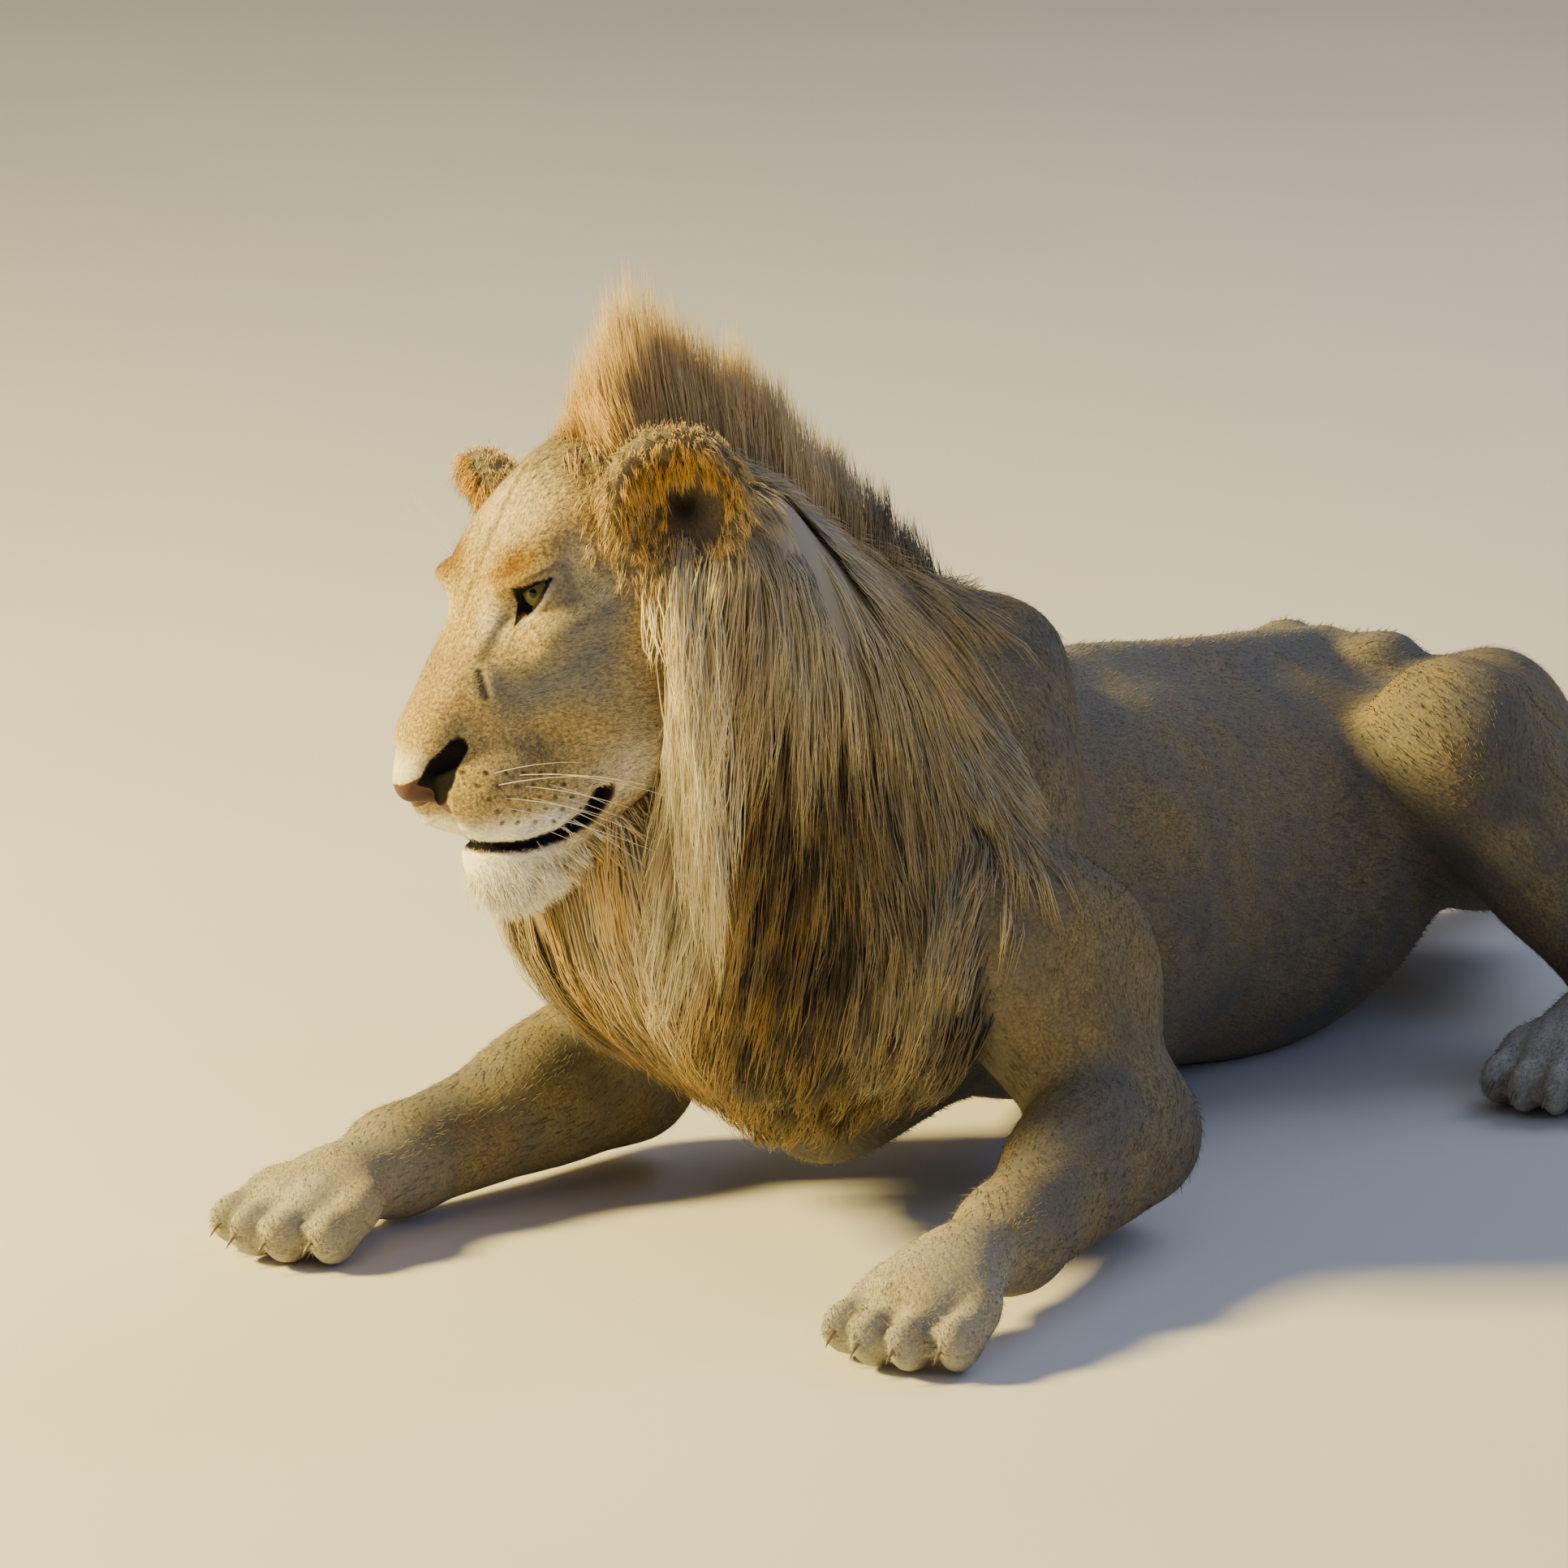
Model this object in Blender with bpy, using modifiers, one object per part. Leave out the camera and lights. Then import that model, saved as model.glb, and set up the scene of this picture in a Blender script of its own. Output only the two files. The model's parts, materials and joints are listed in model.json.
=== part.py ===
"""A young male lion lying with his head up, as solid nodes. Metres; nose towards -Y, left side +X, floor z=0."""

import math

import bmesh
import bpy
import numpy as np
from mathutils import Euler, Matrix, Vector

# ------------------------------------------------------------------ sizes
NOSE = Vector((-0.200, -0.434, 0.452))  # tip of the nose before the model is centred
HEAD_TURN = (27, 24, 7)  # degrees: to his right, nose down, left ear up
EYE_RADIUS = 0.0185
EYE = (-0.174, 0.056, 0.086)  # in the head's own axes: forward, left, up
BLADE_TOP = (0.055, 0.200, 0.465)  # top of the left shoulder blade
LEFT_FORELEG = ((0.170, -0.030, 0.270), (0.252, 0.055, 0.088), (0.300, -0.238, 0.070), (0.296, -0.455, 0.03))
RIGHT_FORELEG = ((-0.170, -0.04, 0.270), (-0.250, 0.035, 0.085), (-0.316, -0.240, 0.054), (-0.340, -0.432, 0.03))
LEFT_HINDLEG = ((0.095, 1.05, 0.185), (0.210, 0.785, 0.288), (0.372, 0.850, 0.058), (0.405, 0.565, 0.03))
RIGHT_HINDLEG = ((-0.095, 1.05, 0.185), (-0.245, 0.735, 0.215), (-0.370, 0.870, 0.056), (-0.405, 0.590, 0.03))
FOREPAW_WIDTH, HINDPAW_WIDTH = 0.142, 0.122
TAIL = (
    (0, 1.170, 0.185, 0.050), (0.005, 1.280, 0.120, 0.037), (0.03, 1.380, 0.058, 0.029),
    (0.10, 1.490, 0.033, 0.026), (0.23, 1.575, 0.026, 0.024), (0.39, 1.600, 0.024, 0.022),
    (0.53, 1.560, 0.023, 0.021), (0.62, 1.480, 0.023, 0.020),
)
TAIL_TUFT = ((0.60, 1.500, 0.030, 0.026), (0.665, 1.41, 0.040, 0.042), (0.690, 1.30, 0.034, 0.030), (0.69, 1.24, 0.02, 0.016))
VOXEL = 0.012
FORELEG_SLEEVE = (0.100, 0.095, 0.075, 0.100)
HINDLEG_SLEEVE = (0.130, 0.115, 0.075, 0.090)
GAP = 0.00035  # between neighbouring nodes
TRIANGLES = {"body": 2850, "ear": 230, "crest": 330, "mane": 480, "tuft": 120, "sleeve": 150}


# ------------------------------------------------------------------ masses
class Mass:
    """One muscle, bone or pad: an egg (ellipsoid) or a limb (cone with round ends)."""

    def __init__(self, name, blend, cut):
        self.name, self.blend, self.cut, self.hollow = name, blend, cut, "hollow" in name


def egg(name, centre, radii, turn=(0, 0, 0), blend=0.03, frame=None, cut=False):
    """An ellipsoid; turn is in degrees about x, y and z."""
    mass = Mass(name, blend, cut)
    centre = Vector(centre)
    axes = Euler([math.radians(a) for a in turn]).to_matrix()
    if frame is not None:
        centre = frame @ centre
        axes = frame.to_3x3() @ axes
    mass.kind = "egg"
    mass.radii, mass.axes = np.array(radii, float), np.array(axes, float)
    mass.middle, mass.reach = np.array(centre, float), max(radii) + blend
    return mass


def limb(name, start, end, r_start, r_end, blend=0.03, frame=None, cut=False):
    """A cone with round ends, as a length of leg."""
    mass = Mass(name, blend, cut)
    start, end = Vector(start), Vector(end)
    if frame is not None:
        start, end = frame @ start, frame @ end
    mass.kind = "limb"
    mass.start, mass.end = np.array(start, float), np.array(end, float)
    mass.r_start, mass.r_end = r_start, r_end
    mass.middle = (mass.start + mass.end) / 2
    mass.reach = (end - start).length / 2 + max(r_start, r_end) + blend
    return mass


def distance(mass, p):
    if mass.kind == "egg":
        q = (p - mass.middle) @ mass.axes
        k0 = np.sqrt(((q / mass.radii) ** 2).sum(1)) + 1e-9
        k1 = np.sqrt(((q / mass.radii**2) ** 2).sum(1)) + 1e-9
        return k0 * (k0 - 1) / k1
    bone = mass.end - mass.start
    t = np.clip(((p - mass.start) @ bone) / (bone @ bone), 0, 1)
    away = np.linalg.norm(p - mass.start - t[:, None] * bone, axis=1)
    return away - (mass.r_start + (mass.r_end - mass.r_start) * t)


def field(p, masses):
    """Signed distance to the blended masses; 0.3 m where nothing is near."""
    f = np.full(len(p), 0.3)
    for mass in masses:
        near = np.flatnonzero(((p - mass.middle) ** 2).sum(1) < (mass.reach + 0.05) ** 2)
        if not len(near):
            continue
        d, old, k = distance(mass, p[near]), f[near], mass.blend
        if mass.cut:
            h = np.clip(0.5 - 0.5 * (old + d) / k, 0, 1)
            f[near] = old * (1 - h) - d * h + k * h * (1 - h)
        else:
            h = np.clip(0.5 + 0.5 * (old - d) / k, 0, 1)
            f[near] = old * (1 - h) + d * h - k * h * (1 - h)
    return f


def gradient(p, masses, step=0.0005):
    g = np.empty_like(p)
    for axis in range(3):
        e = np.zeros(3)
        e[axis] = step
        g[:, axis] = field(p + e, masses) - field(p - e, masses)
    return g / np.maximum(np.linalg.norm(g, axis=1, keepdims=True), 1e-9)


# ------------------------------------------------------------------ the animal
def head_frame():
    """The head's own axes at the nose tip: x forward, y left, z up."""
    turn, down, lean = (math.radians(a) for a in HEAD_TURN)
    ahead = Vector((-math.sin(turn), -math.cos(turn), 0))
    left = Vector((math.cos(turn), -math.sin(turn), 0))
    forward = ahead * math.cos(down) - Vector((0, 0, 1)) * math.sin(down)
    above = Vector((0, 0, 1)) * math.cos(down) + ahead * math.sin(down)
    side = left * math.cos(lean) + above * math.sin(lean)
    up = above * math.cos(lean) - left * math.sin(lean)
    frame = Matrix((forward, side, up)).transposed().to_4x4()
    frame.translation = NOSE
    return frame


HEAD = head_frame()


def head_masses():
    f = HEAD
    out = [
        egg("cranium", (-0.283, 0, 0.086), (0.105, 0.073, 0.096), (0, 0, 0), 0.03, f),
        egg("forehead", (-0.205, 0, 0.060), (0.085, 0.056, 0.072), (0, 20, 0), 0.04, f),
        limb("skull_base", (-0.24, 0, 0.02), (-0.32, 0, 0.03), 0.072, 0.085, 0.05, f),
        egg("muzzle", (-0.086, 0, -0.018), (0.078, 0.044, 0.050), (0, 25, 0), 0.03, f),
        egg("nose", (-0.028, 0, -0.020), (0.026, 0.034, 0.026), (0, 0, 0), 0.015, f),
        limb("nose_top", (-0.056, 0, 0.013), (-0.032, 0, -0.012), 0.021, 0.019, 0.015, f),
        egg("chin", (-0.064, 0, -0.124), (0.036, 0.034, 0.032), (0, -8, 0), 0.02, f),
        egg("jaw_floor", (-0.130, 0, -0.109), (0.085, 0.046, 0.036), (0, -5, 0), 0.03, f),
    ]
    for s in (1, -1):
        out += [
            limb("bridge", (-0.150, 0.018 * s, 0.068), (-0.054, 0.015 * s, 0.012), 0.027, 0.022, 0.025, f),
            egg("brow", (-0.174, 0.043 * s, 0.101), (0.036, 0.028, 0.019), (0, 20, 12 * s), 0.025, f),
            egg("whisker_pad", (-0.066, 0.034 * s, -0.047), (0.052, 0.031, 0.036), (0, 8, -12 * s), 0.02, f),
            egg("lip_back", (-0.115, 0.042 * s, -0.060), (0.048, 0.028, 0.036), (0, 10, -12 * s), 0.025, f),
            egg("under_eye", (-0.135, 0.044 * s, 0.028), (0.052, 0.030, 0.040), (0, 25, -12 * s), 0.03, f),
            limb("cheekbone", (-0.165, 0.064 * s, 0.052), (-0.265, 0.096 * s, 0.048), 0.022, 0.026, 0.03, f),
            egg("cheek", (-0.222, 0.068 * s, -0.008), (0.080, 0.046, 0.078), (0, 0, -10 * s), 0.04, f),
            limb("jaw", (-0.085, 0.026 * s, -0.114), (-0.235, 0.068 * s, -0.070), 0.027, 0.040, 0.03, f),
            egg("temple", (-0.250, 0.052 * s, 0.095), (0.075, 0.038, 0.050), (0, 0, 0), 0.04, f),
            egg("eye_socket", (-0.135, 0.081 * s, 0.086), (0.022, 0.032, 0.026), (0, 0, 33 * s), 0.020, f, True),
            egg("eye_opening", (-0.144, 0.0755 * s, 0.086), (0.022, 0.020, 0.013), (0, 0, 33 * s), 0.006, f, True),
        ]
    return out


def trunk_masses():
    head_root = HEAD @ Vector((-0.30, 0, 0.02))
    nape_root = HEAD @ Vector((-0.31, 0, 0.07))
    out = [
        egg("ribcage", (0, 0.39, 0.214), (0.178, 0.34, 0.200), (-3, 0, 0), 0.05),
        egg("forechest", (0, 0.10, 0.26), (0.150, 0.20, 0.20), (0, 0, 0), 0.06),
        egg("brisket", (0, -0.02, 0.19), (0.09, 0.13, 0.15), (0, 0, 0), 0.06),
        egg("belly", (0, 0.72, 0.165), (0.190, 0.32, 0.190), (0, 0, 0), 0.06),
        limb("loin", (0, 0.42, 0.298), (0, 0.92, 0.238), 0.100, 0.088, 0.05),
        egg("pelvis", (0, 1.01, 0.186), (0.130, 0.20, 0.120), (-14, 0, 0), 0.05),
        limb("spine", (0, 0.30, 0.426), (0, 0.93, 0.340), 0.018, 0.015, 0.05),
        limb("withers", (0, 0.10, 0.43), (0, 0.25, 0.435), 0.085, 0.062, 0.06),
        limb("neck", head_root, (0, 0.10, 0.36), 0.110, 0.150, 0.07),
        limb("nape", nape_root, (0, 0.16, 0.43), 0.080, 0.088, 0.07),
    ]
    for s in (1, -1):
        out += [
            egg("hip_crest", (0.056 * s, 0.945, 0.326), (0.030, 0.055, 0.028), (0, 0, 0), 0.045),
            egg("buttock", (0.085 * s, 1.12, 0.165), (0.090, 0.115, 0.125), (0, 0, 0), 0.05),
        ]
    return out


def paw_masses(name, wrist, toes, width):
    """A broad cat's foot: wrist, back of the hand, four toes with their knuckles."""
    along = toes - wrist
    length = along.length
    heading = math.atan2(along.x, -along.y)
    frame = Matrix.Translation(wrist) @ Matrix.Rotation(heading, 4, "Z")  # -y runs to the toes
    out = [
        limb(name + "_wrist", (0, 0, 0), (0, -0.35 * length, -0.006), 0.045, 0.041, 0.03, frame),
        egg(name + "_back", (0, -0.55 * length, -0.012), (width * 0.40, 0.32 * length, 0.036), (8, 0, 0), 0.03, frame),
    ]
    for i in range(4):
        x = (i - 1.5) * width * 0.245
        y = -length + (0.024 if i in (1, 2) else 0.043)
        fan = i - 1.5
        out += [
            egg(name + "_toe", (x, y, 0.027 - wrist.z), (width * 0.135, 0.036, 0.027), (-14, 0, 7 * fan), 0.012, frame),
            egg(name + "_knuckle", (x, y + 0.036, 0.043 - wrist.z), (width * 0.13, 0.036, 0.023), (20, 0, 5 * fan), 0.015, frame),
        ]
    return out


def foreleg_masses(side, points):
    shoulder, elbow, wrist, toes = map(Vector, points)
    blade_top = Vector((BLADE_TOP[0] * side, BLADE_TOP[1], BLADE_TOP[2]))
    triceps = shoulder * 0.35 + elbow * 0.65 + Vector((-0.01 * side, 0.045, 0.06))
    return [
        limb("shoulder_blade", blade_top, shoulder, 0.045, 0.075, 0.06),
        egg("triceps", triceps, (0.060, 0.085, 0.115), (20, 0, 0), 0.05),
        limb("upper_arm", shoulder, elbow, 0.080, 0.064, 0.05),
        limb("forearm", elbow, wrist, 0.070, 0.052, 0.03),
        egg("forearm_muscle", elbow.lerp(wrist, 0.28) + Vector((0, 0, 0.014)), (0.060, 0.120, 0.068), (0, 0, 0), 0.03),
    ] + paw_masses("forepaw", wrist, toes, FOREPAW_WIDTH)


def hindleg_masses(side, points):
    hip, knee, hock, toes = map(Vector, points)
    thigh = hip.lerp(knee, 0.45) + Vector((0, 0.06, -0.02))
    calf = knee.lerp(hock, 0.35) + Vector((0.01 * side, 0.05, -0.01))
    return [
        limb("thigh", hip, knee, 0.108, 0.082, 0.05),
        egg("thigh_muscle", thigh, (0.080, 0.20, 0.12), (0, 0, 20 * side), 0.05),
        limb("shank", knee, hock, 0.078, 0.050, 0.04),
        egg("calf", calf, (0.055, 0.085, 0.10), (35, 0, 0), 0.05),
        limb("foot", hock, hock.lerp(toes, 0.55), 0.044, 0.038, 0.03),
    ] + paw_masses("hindpaw", hock.lerp(toes, 0.42), toes, HINDPAW_WIDTH)


def string_masses(name, stations, blend=0.02):
    """Limbs end to end through stations of x, y, z and radius."""
    return [
        limb(name, a[:3], b[:3], a[3], b[3], blend)
        for a, b in zip(stations, stations[1:])
    ]


def ear_masses(side):
    """A round furred cup. The left ear faces outwards, the right one forwards."""
    centre, facing, size = (
        ((-0.297, 0.128, 0.112), (0.50, 0.86, 0), (0.064, 0.066))
        if side > 0
        else ((-0.262, -0.158, 0.106), (0.92, -0.38, 0), (0.056, 0.052))
    )
    out = Vector(facing).normalized()
    up = Vector((0, 0, 1))
    across = up.cross(out)
    local = Matrix((out, across, up)).transposed().to_4x4()
    local.translation = Vector(centre)
    cup = HEAD @ local
    root = Vector((-0.262, 0.060 * side, 0.085))
    return [
        egg("ear_shell", (-0.010, 0, 0), (0.034, *size), (0, 0, 0), 0.01, cup),
        limb("ear_root", (-0.02, 0, -0.02), local.inverted() @ root, 0.034, 0.034, 0.02, cup),
        egg("ear_hollow", (0.020, 0, -0.002), (0.036, size[0] - 0.012, size[1] - 0.012), (0, 0, 0), 0.008, cup, True),
    ]


CREST = (  # where the upright hair is rooted, where it ends, and half its thickness
    ((-0.108, -0.246, 0.685), (-0.106, -0.268, 0.738), 0.026),
    ((-0.104, -0.225, 0.690), (-0.104, -0.252, 0.790), 0.022),
    ((-0.095, -0.190, 0.690), (-0.092, -0.217, 0.838), 0.020),
    ((-0.080, -0.140, 0.675), (-0.080, -0.148, 0.800), 0.026),
    ((-0.066, -0.080, 0.645), (-0.064, -0.072, 0.765), 0.030),
    ((-0.048, -0.020, 0.600), (-0.046, -0.004, 0.700), 0.034),
    ((-0.028, 0.040, 0.560), (-0.026, 0.062, 0.640), 0.036),
    ((-0.010, 0.100, 0.515), (-0.010, 0.112, 0.580), 0.036),
    ((0.000, 0.170, 0.480), (0.000, 0.182, 0.512), 0.034),
)


def crest_masses():
    out = []
    for (root, tip, r), (root_2, tip_2, r_2) in zip(CREST, CREST[1:]):
        for t in (0.0, 0.2, 0.4, 0.6, 0.8, 1.0):
            a, b = Vector(root).lerp(Vector(tip), t), Vector(root_2).lerp(Vector(tip_2), t)
            thin = 1 - 0.40 * t
            out.append(limb("crest", a, b, r * thin, r_2 * thin, 0.03))
    return out


def mane_masses():
    h = HEAD
    out = [
        egg("throat_mane", (-0.082, -0.190, 0.345), (0.150, 0.125, 0.160), (0, 0, 0), 0.05),
        egg("chest_mane", (-0.010, -0.095, 0.255), (0.165, 0.150, 0.150), (0, 0, 0), 0.05),
    ]
    for s in (1, -1):
        jaw = h @ Vector((-0.270, 0.082 * s, -0.040))
        ear = h @ Vector((-0.330, 0.092 * s, 0.020))
        low = Vector((0.115 * s - 0.02, -0.050, 0.235))
        side = Vector((0.115 * s, 0.000, 0.330))
        out += [
            limb("cheek_ruff", jaw, low + Vector((-0.02, -0.03, 0)), 0.055, 0.085, 0.04),
            limb("side_ruff", ear, side, 0.055, 0.085, 0.05),
            limb("skirt", side, low, 0.085, 0.090, 0.05),
        ]
    return out


def body_masses():
    return (
        trunk_masses()
        + foreleg_masses(1, LEFT_FORELEG)
        + foreleg_masses(-1, RIGHT_FORELEG)
        + hindleg_masses(1, LEFT_HINDLEG)
        + hindleg_masses(-1, RIGHT_HINDLEG)
        + string_masses("tail", TAIL)
        + head_masses()
    )


# ------------------------------------------------------------------ meshes
def rough_mesh(masses, cuts=False):
    """The plain primitives, overlapping, before they are made one."""
    bm = bmesh.new()
    for mass in masses:
        if mass.cut != cuts:
            continue
        if mass.kind == "egg":
            size = Matrix.Diagonal((*mass.radii, 1))
            where = Matrix.Translation(Vector(mass.middle)) @ Matrix(mass.axes.tolist()).to_4x4() @ size
            bmesh.ops.create_icosphere(bm, subdivisions=3, radius=1, matrix=where)
            continue
        a, b = Vector(mass.start), Vector(mass.end)
        for centre, radius in ((a, mass.r_start), (b, mass.r_end)):
            bmesh.ops.create_icosphere(bm, subdivisions=3, radius=radius, matrix=Matrix.Translation(centre))
        turn = (b - a).to_track_quat("Z", "Y").to_matrix().to_4x4()
        bmesh.ops.create_cone(
            bm, cap_ends=True, segments=24, radius1=mass.r_start, radius2=mass.r_end,
            depth=(b - a).length, matrix=Matrix.Translation((a + b) / 2) @ turn,
        )
    mesh = bpy.data.meshes.new("rough")
    bm.to_mesh(mesh)
    bm.free()
    return mesh


def apply_modifiers(obj):
    graph = bpy.context.evaluated_depsgraph_get()
    mesh = bpy.data.meshes.new_from_object(obj.evaluated_get(graph))
    obj.modifiers.clear()
    obj.data = mesh


def coordinates(mesh):
    co = np.empty(len(mesh.vertices) * 3, np.float32)
    mesh.vertices.foreach_get("co", co)
    return co.reshape(-1, 3).astype(float)


def relax(p, ends, share):
    """Each point moved part of the way to the middle of its neighbours."""
    total = np.empty_like(p)
    for axis in range(3):
        total[:, axis] = np.bincount(ends[:, 0], p[ends[:, 1], axis], len(p))
        total[:, axis] += np.bincount(ends[:, 1], p[ends[:, 0], axis], len(p))
    count = np.maximum(np.bincount(ends.ravel(), minlength=len(p)), 1)
    return p + share * (total / count[:, None] - p)


def settle(p, masses, level):
    """Points moved on to the blended surface."""
    for _ in range(2):
        off = np.clip(field(p, masses) - level, -0.02, 0.02)
        p = p - gradient(p, masses) * off[:, None]
    return p


def refine(mesh, centre, radius):
    """Every face near a point divided once, so that small forms have points to be made of."""
    bm = bmesh.new()
    bm.from_mesh(mesh)
    near = [e for e in bm.edges if all((v.co - centre).length < radius for v in e.verts)]
    bmesh.ops.subdivide_edges(bm, edges=near, cuts=1, use_grid_fill=True)
    bmesh.ops.triangulate(bm, faces=[f for f in bm.faces if len(f.verts) > 4])
    bm.to_mesh(mesh)
    bm.free()


def shaped(name, masses, voxel, triangles, level=0.0, home=None, fine=()):
    """Primitives made one by a Remesh, settled on the blended surface, then thinned out."""
    obj = bpy.data.objects.new(name, rough_mesh(masses))
    (home or NODES).objects.link(obj)
    for hollow in [None] + [mass for mass in masses if mass.cut and mass.hollow]:
        if hollow:
            bowl = bpy.data.objects.new(name + "_bowl", rough_mesh([hollow], True))
            CUTTERS.objects.link(bowl)
            boolean(obj, bowl, "DIFFERENCE")
        remesh = obj.modifiers.new("Remesh", "REMESH")
        remesh.mode, remesh.voxel_size = "VOXEL", voxel
        apply_modifiers(obj)
    keep_largest(obj)
    mesh = obj.data
    for centre, radius in fine:
        refine(mesh, centre, radius)
    p = coordinates(mesh)
    ends = np.empty(len(mesh.edges) * 2, np.int32)
    mesh.edges.foreach_get("vertices", ends)
    ends = ends.reshape(-1, 2)
    for _ in range(2):
        p = relax(settle(p, masses, level), ends, 0.5)
    p = settle(p, masses, level)
    mesh.vertices.foreach_set("co", p.astype(np.float32).ravel())
    mesh.update()
    faces = sum(len(poly.vertices) - 2 for poly in mesh.polygons)
    thin = obj.modifiers.new("Decimate", "DECIMATE")
    thin.ratio = min(1, triangles / faces)
    thin.use_collapse_triangulate = True  # a bent quad would be split one way here and another way later
    apply_modifiers(obj)
    return obj


def keep_largest(obj):
    """Drops the crumbs a Boolean or a Remesh can leave beside the main body."""
    bm = bmesh.new()
    bm.from_mesh(obj.data)
    bm.verts.ensure_lookup_table()
    seen, islands = set(), []
    for vert in bm.verts:
        if vert.index in seen:
            continue
        seen.add(vert.index)
        island, front = [], [vert]
        while front:
            v = front.pop()
            island.append(v)
            for edge in v.link_edges:
                other = edge.other_vert(v)
                if other.index not in seen:
                    seen.add(other.index)
                    front.append(other)
        islands.append(island)
    islands.sort(key=len)
    bmesh.ops.delete(bm, geom=[v for island in islands[:-1] for v in island], context="VERTS")
    bm.to_mesh(obj.data)
    bm.free()


def boolean(obj, other, operation):
    before = obj.data
    for tolerant in (False, True):
        cut = obj.modifiers.new("Boolean", "BOOLEAN")
        cut.object, cut.operation, cut.solver = other, operation, "EXACT"
        cut.use_self, cut.use_hole_tolerant = tolerant, tolerant
        bpy.context.view_layer.update()
        apply_modifiers(obj)
        keep_largest(obj)
        if obj.data.polygons:
            return
        obj.data = before


def cutter_copy(obj, grow):
    """A copy of obj among the cutters, its skin pushed out by grow."""
    other = bpy.data.objects.new(obj.name + "_cut", obj.data.copy())
    CUTTERS.objects.link(other)
    mesh = other.data
    p = coordinates(mesh)
    normals = np.empty(len(mesh.vertices) * 3, np.float32)
    mesh.vertices.foreach_get("normal", normals)
    p = p + normals.reshape(-1, 3) * grow
    mesh.vertices.foreach_set("co", p.astype(np.float32).ravel())
    mesh.update()
    return other


def cut_out(rest, cutter, name):
    """The part of rest inside cutter becomes its own node, a hair's gap away."""
    piece = bpy.data.objects.new(name, rest.data.copy())
    NODES.objects.link(piece)
    boolean(piece, cutter, "INTERSECT")
    boolean(rest, cutter_copy(cutter, GAP), "DIFFERENCE")
    return piece


def plane_split(rest, point, ahead, name, reach=0.5):
    """The part of rest ahead of a plane becomes its own node, a hair's gap away."""
    ahead = Vector(ahead).normalized()
    turn = ahead.to_track_quat("Z", "Y").to_matrix().to_4x4()
    boxes = []
    for shift in (0, -GAP):
        mesh = bpy.data.meshes.new("box")
        bm = bmesh.new()
        bmesh.ops.create_cube(bm, size=reach * 2)
        bmesh.ops.translate(bm, verts=bm.verts, vec=(0, 0, reach + shift))
        bmesh.ops.transform(bm, matrix=Matrix.Translation(Vector(point)) @ turn, verts=bm.verts)
        bm.to_mesh(mesh)
        bm.free()
        box = bpy.data.objects.new(name + "_box", mesh)
        CUTTERS.objects.link(box)
        boxes.append(box)
    piece = bpy.data.objects.new(name, rest.data.copy())
    NODES.objects.link(piece)
    boolean(piece, boxes[0], "INTERSECT")
    boolean(rest, boxes[1], "DIFFERENCE")
    return piece


def floor_cut(obj):
    """Flat undersides at one level."""
    mesh = bpy.data.meshes.new("floor")
    bm = bmesh.new()
    bmesh.ops.create_cube(bm, size=6, matrix=Matrix.Translation((0, 0.4, -3)))
    bm.to_mesh(mesh)
    bm.free()
    box = bpy.data.objects.new("floor_cut", mesh)
    CUTTERS.objects.link(box)
    boolean(obj, box, "DIFFERENCE")


def leg_nodes(body, side, points, radii, names, shares):
    """A leg cut from the body by a loose sleeve of limbs, then parted at its two joints."""
    top, bend, ankle, toes = map(Vector, points)
    top = top + Vector((0.35 * (bend.x - top.x) + 0.02 * math.copysign(1, top.x), 0, 0))
    sleeve = [limb("sleeve", a, b, r, q, 0.03) for a, b, r, q in zip((top, bend, ankle), (bend, ankle, toes), radii, radii[1:])]
    leg = shaped(side + "_leg_cutter", sleeve, 0.02, TRIANGLES["sleeve"], 0, CUTTERS)
    upper = cut_out(body, leg, f"{names[0]}_{side}")
    down, back = (ankle - bend).normalized(), (bend - top).normalized()
    middle = plane_split(upper, bend.lerp(ankle, shares[0]), down + back * 0.9, f"{names[1]}_{side}")
    forward = (toes - ankle).normalized()
    plane_split(middle, ankle.lerp(toes, shares[1]), forward + down * 0.5, f"{names[2]}_{side}")


def paint(colours):
    for obj in NODES.objects:
        colour = next(c for words, c in colours if any(w in obj.name for w in words))
        material = bpy.data.materials.new(obj.name + "_coat")
        material.use_nodes = True
        shader = material.node_tree.nodes["Principled BSDF"]
        shader.inputs["Base Color"].default_value = (*colour, 1)
        shader.inputs["Roughness"].default_value = 0.25 if "eye" in obj.name else 0.8
        obj.data.materials.clear()
        obj.data.materials.append(material)


# ------------------------------------------------------------------ build
for old in list(bpy.data.objects):
    bpy.data.objects.remove(old)
NODES = bpy.data.collections.new("resting_lion")
CUTTERS = bpy.data.collections.new("cutters")
bpy.context.scene.collection.children.link(NODES)
bpy.context.scene.collection.children.link(CUTTERS)

fine = [(HEAD @ Vector((-0.14, 0, 0)), 0.19)]
fine += [(HEAD @ Vector((EYE[0] + 0.01, EYE[1] * s, EYE[2])), 0.035) for s in (1, -1)]
body = shaped("trunk", body_masses(), VOXEL, TRIANGLES["body"], fine=fine)
floor_cut(body)

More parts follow.
